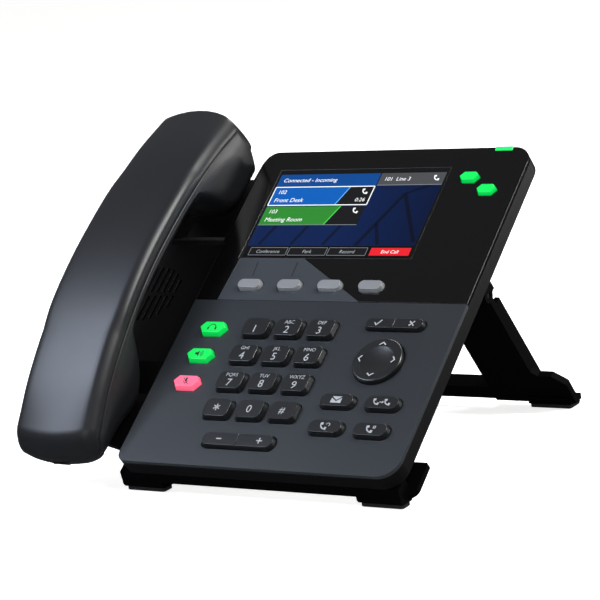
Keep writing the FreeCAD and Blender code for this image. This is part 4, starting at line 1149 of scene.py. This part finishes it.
def close_tree(tree: bpy.types.NodeTree, instances: Any, material: bpy.types.Material) -> None:
    """End a geometry tree by realizing its instances and setting their material."""
    real = add_node(tree, "GeometryNodeRealizeInstances", {}, {"Geometry": instances})
    dressed = add_node(tree, "GeometryNodeSetMaterial", {"Material": material},
                       {"Geometry": real.outputs["Geometry"]})
    add_node(tree, "NodeGroupOutput", {}, {"Geometry": dressed.outputs["Geometry"]})


@dataclass(frozen=True)
class HoleRing:
    """Ring of round cutters for the sound holes."""

    ring: float
    count: int
    radius: float
    length: float = 5.0

    def mesh(self, at: tuple[float, float, float]) -> bpy.types.Mesh:
        """Grow the cutters and set them in place.

        Args:
            at: Middle of the ring in the face axes.

        Returns:
            The cutters as one mesh.
        """
        tree = bpy.data.node_groups.get("hole_ring") or self.tree()
        mesh = grown_mesh(tree, "hole_ring", {
            "Ring": self.ring, "Count": self.count, "Radius": self.radius, "Length": self.length})
        mesh.transform(Matrix.Translation(at))
        mesh.transform(FACE.matrix())
        return mesh

    def tree(self) -> bpy.types.NodeTree:
        """Geometry tree: cylinders on the points of a circle."""
        tree = new_tree("hole_ring", {
            "Ring": ("NodeSocketFloat", 4.0), "Count": ("NodeSocketInt", 6),
            "Radius": ("NodeSocketFloat", 0.9), "Length": ("NodeSocketFloat", 5.0)})
        source = add_node(tree, "NodeGroupInput")
        index = add_node(tree, "GeometryNodeInputIndex")
        share = add_node(tree, "ShaderNodeMath", {}, {0: index.outputs[0], 1: source.outputs["Count"]},
                         operation="DIVIDE")
        angle = add_node(tree, "ShaderNodeMath", {1: 2 * math.pi}, {0: share.outputs[0]},
                         operation="MULTIPLY")
        cosine = add_node(tree, "ShaderNodeMath", {}, {0: angle.outputs[0]}, operation="COSINE")
        sine = add_node(tree, "ShaderNodeMath", {}, {0: angle.outputs[0]}, operation="SINE")
        direction = add_node(tree, "ShaderNodeCombineXYZ", {},
                             {"X": cosine.outputs[0], "Y": sine.outputs[0]})
        spot = add_node(tree, "ShaderNodeVectorMath", {}, {0: direction.outputs[0], "Scale":
                        source.outputs["Ring"]}, operation="SCALE")
        points = add_node(tree, "GeometryNodePoints", {}, {
            "Count": source.outputs["Count"], "Position": spot.outputs[0]})
        rod = add_node(tree, "GeometryNodeMeshCylinder", {"Vertices": 16}, {
            "Radius": source.outputs["Radius"], "Depth": source.outputs["Length"]})
        copies = add_node(tree, "GeometryNodeInstanceOnPoints", {}, {
            "Points": points.outputs[0], "Instance": rod.outputs["Mesh"]})
        close_tree(tree, copies.outputs["Instances"], NYLON_BLACK.build())
        return tree


@dataclass(frozen=True)
class Contacts:
    """Row of gold contact springs in a cord or network socket."""

    mount: str
    count: int
    length: float
    rise: float
    body: Body = Body.BASE
    pitch: float = 1.02

    def tree(self) -> bpy.types.NodeTree:
        """Geometry tree: thin bars along a line."""
        tree = new_tree("contact_row", {
            "Count": ("NodeSocketInt", 8), "Pitch": ("NodeSocketFloat", 1.02),
            "Width": ("NodeSocketFloat", 0.4), "Length": ("NodeSocketFloat", 6.0)})
        source = add_node(tree, "NodeGroupInput")
        step = add_node(tree, "ShaderNodeCombineXYZ", {}, {"X": source.outputs["Pitch"]})
        line = add_node(tree, "GeometryNodeMeshLine", {}, {
            "Count": source.outputs["Count"], "Offset": step.outputs[0]})
        size = add_node(tree, "ShaderNodeCombineXYZ", {"Z": 0.35}, {
            "X": source.outputs["Width"], "Y": source.outputs["Length"]})
        bar = add_node(tree, "GeometryNodeMeshCube", {}, {"Size": size.outputs[0]})
        copies = add_node(tree, "GeometryNodeInstanceOnPoints", {}, {
            "Points": line.outputs["Mesh"], "Instance": bar.outputs["Mesh"]})
        close_tree(tree, copies.outputs["Instances"], GOLD_FLASH.build())
        return tree

    def build(self) -> bpy.types.Object:
        """Grow the row inside its socket.

        Returns:
            The finished piece.
        """
        tree = bpy.data.node_groups.get("contact_row") or self.tree()
        name = self.mount + "_contacts"
        mesh = grown_mesh(tree, name, {"Count": self.count, "Pitch": self.pitch, "Length": self.length})
        spot = FACE.mount(self.mount)
        start = spot.x - self.pitch * (self.count - 1) / 2
        mesh.transform(Matrix.Translation((start, spot.y + 2.0 + self.length / 2, spot.z + self.rise))
                       @ Matrix.Rotation(math.radians(-9), 4, "X"))
        mesh.transform(FACE.matrix())
        piece = new_object(name, mesh)
        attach(piece, self.body.value)
        log.info("%s: %d contacts", name, self.count)
        return piece


# ------------------------------------------------------------------ studio
@dataclass(frozen=True)
class Lamp:
    """One soft box: where it hangs, what it faces, its size and its power."""

    name: str
    place: tuple[float, float, float]
    size: Pair
    power: float
    target: tuple[float, float, float] = (0.0, 0.0, 0.06)
    colour: str = "ffffff"

    def build(self) -> None:
        """Hang the soft box."""
        light = bpy.data.lights.new(self.name, "AREA")
        light.shape = "RECTANGLE"
        light.size, light.size_y = self.size
        light.energy = self.power
        light.color = linear(self.colour)[:3]
        holder = new_object(self.name, light)
        aim = Vector(self.target) - Vector(self.place)
        holder.rotation_euler = aim.to_track_quat("-Z", "Y").to_euler()
        holder.location = self.place


@dataclass
class Studio:
    """Pale floor, soft light and the camera."""

    azimuth: float = 34.5376
    elevation: float = 12.6751
    roll: float = -7.5953
    lens: float = 144.35
    offset: tuple[float, float, float] = (-85.714, 74.120, 1115.146)
    lamps: tuple[Lamp, ...] = (
        Lamp("left_soft_box", (-0.40, -0.37, 0.51), (0.33, 0.27), 3.7, (-0.03, -0.04, 0.04), "dfeaff"),
        Lamp("front_soft_box", (0.45, -1.2, 0.5), (0.9, 0.4), 2.2),
        Lamp("right_strip_box", (0.72, 0.14, 0.86), (0.2, 0.7), 13.0),
        Lamp("back_soft_box", (-0.1, 0.95, 0.8), (0.8, 0.3), 8.0),
        Lamp("low_back_box", (0.62, 0.82, 0.15), (0.12, 0.3), 2.4, (0.08, 0.06, 0.10)),
    )

    def axes(self) -> tuple[Vector, Vector, Vector]:
        """Right, up and backward directions of the camera."""
        a, e, r = (math.radians(x) for x in (self.azimuth, self.elevation, self.roll))
        right = Vector((math.cos(a), math.sin(a), 0))
        back = Vector((math.sin(a) * math.cos(e), -math.cos(a) * math.cos(e), math.sin(e)))
        up = back.cross(right)
        return (right * math.cos(r) + up * math.sin(r), up * math.cos(r) - right * math.sin(r), back)

    def build(self) -> None:
        """Make the floor, the sky, the lamps and the camera."""
        self.build_camera()
        for lamp in self.lamps:
            lamp.build()
        world = bpy.data.worlds.new("studio_air")
        world.use_nodes = True
        bpy.context.scene.world = world
        bpy.context.scene.view_settings.view_transform = "Standard"
        tree = world.node_tree
        back = tree.nodes["Background"]
        place = add_node(tree, "ShaderNodeTexCoord")
        height = add_node(tree, "ShaderNodeSeparateXYZ", {}, {0: place.outputs["Generated"]})
        ramp = add_node(tree, "ShaderNodeMapRange",
                        {"From Min": -0.1, "From Max": 0.25, "To Min": 0.05, "To Max": 0.2},
                        {"Value": height.outputs["Z"]})
        path = add_node(tree, "ShaderNodeLightPath")
        level = add_node(tree, "ShaderNodeMix", {3: 1.0}, {0: path.outputs["Is Camera Ray"],
                         2: ramp.outputs[0]})
        back.inputs["Color"].default_value = linear("fdfdfd")
        tree.links.new(level.outputs[0], back.inputs["Strength"])
        self.build_floor()

    def build_camera(self) -> None:
        """Set the camera at the front, to the right and a little above the face."""
        right, up, back = self.axes()
        shift = Vector(self.offset)
        centre = -(right * shift.x - up * shift.y - back * shift.z)
        eye = FACE.corner + centre * MM
        data = bpy.data.cameras.new("studio_camera")
        data.lens = self.lens
        data.sensor_width = 36.0
        data.clip_start = 0.05
        camera = new_object("studio_camera", data)
        turn = Matrix((right, up, back)).transposed().to_4x4()
        camera.matrix_world = Matrix.Translation(eye) @ turn
        bpy.context.scene.camera = camera

    def build_floor(self) -> None:
        """Lay a large pale sheet with a faint mottle under the telephone."""
        finish = Plastic("paper_sweep_matt", "f2f2f1", 0.85, "", grain=2.5, depth=0.02, tint=0.01,
                         specular=0.1, glow=0.9)
        work = bmesh.new()
        bmesh.ops.create_circle(work, cap_ends=True, segments=64, radius=9.0)
        mesh = bpy.data.meshes.new("paper_sweep")
        work.to_mesh(mesh)
        work.free()
        mesh.transform(Matrix.Translation((0, 0, -0.0004)))
        mesh.materials.append(finish.build())
        sheet = new_object("paper_sweep", mesh)
        sheet.visible_glossy = False


def main() -> None:
    """Build the telephone's looks in order."""
    logging.basicConfig(level=logging.INFO, format="%(message)s")
    Studio().build()
    Housing().build()
    Stand().build()
    Keys().build()
    display = Display()
    display.build()
    display.build_leads()
    Handset().build()
    for row in (Contacts("network_jack", 8, 7.0, 2.6), Contacts("computer_jack", 8, 7.0, 2.6),
                Contacts("handset_jack", 4, 5.0, 1.8), Contacts("headset_jack", 4, 5.0, 1.8),
                Contacts("handset_cord_socket", 4, 4.0, 1.6, Body.HANDSET)):
        row.build()


if __name__ == "__main__":
    main()
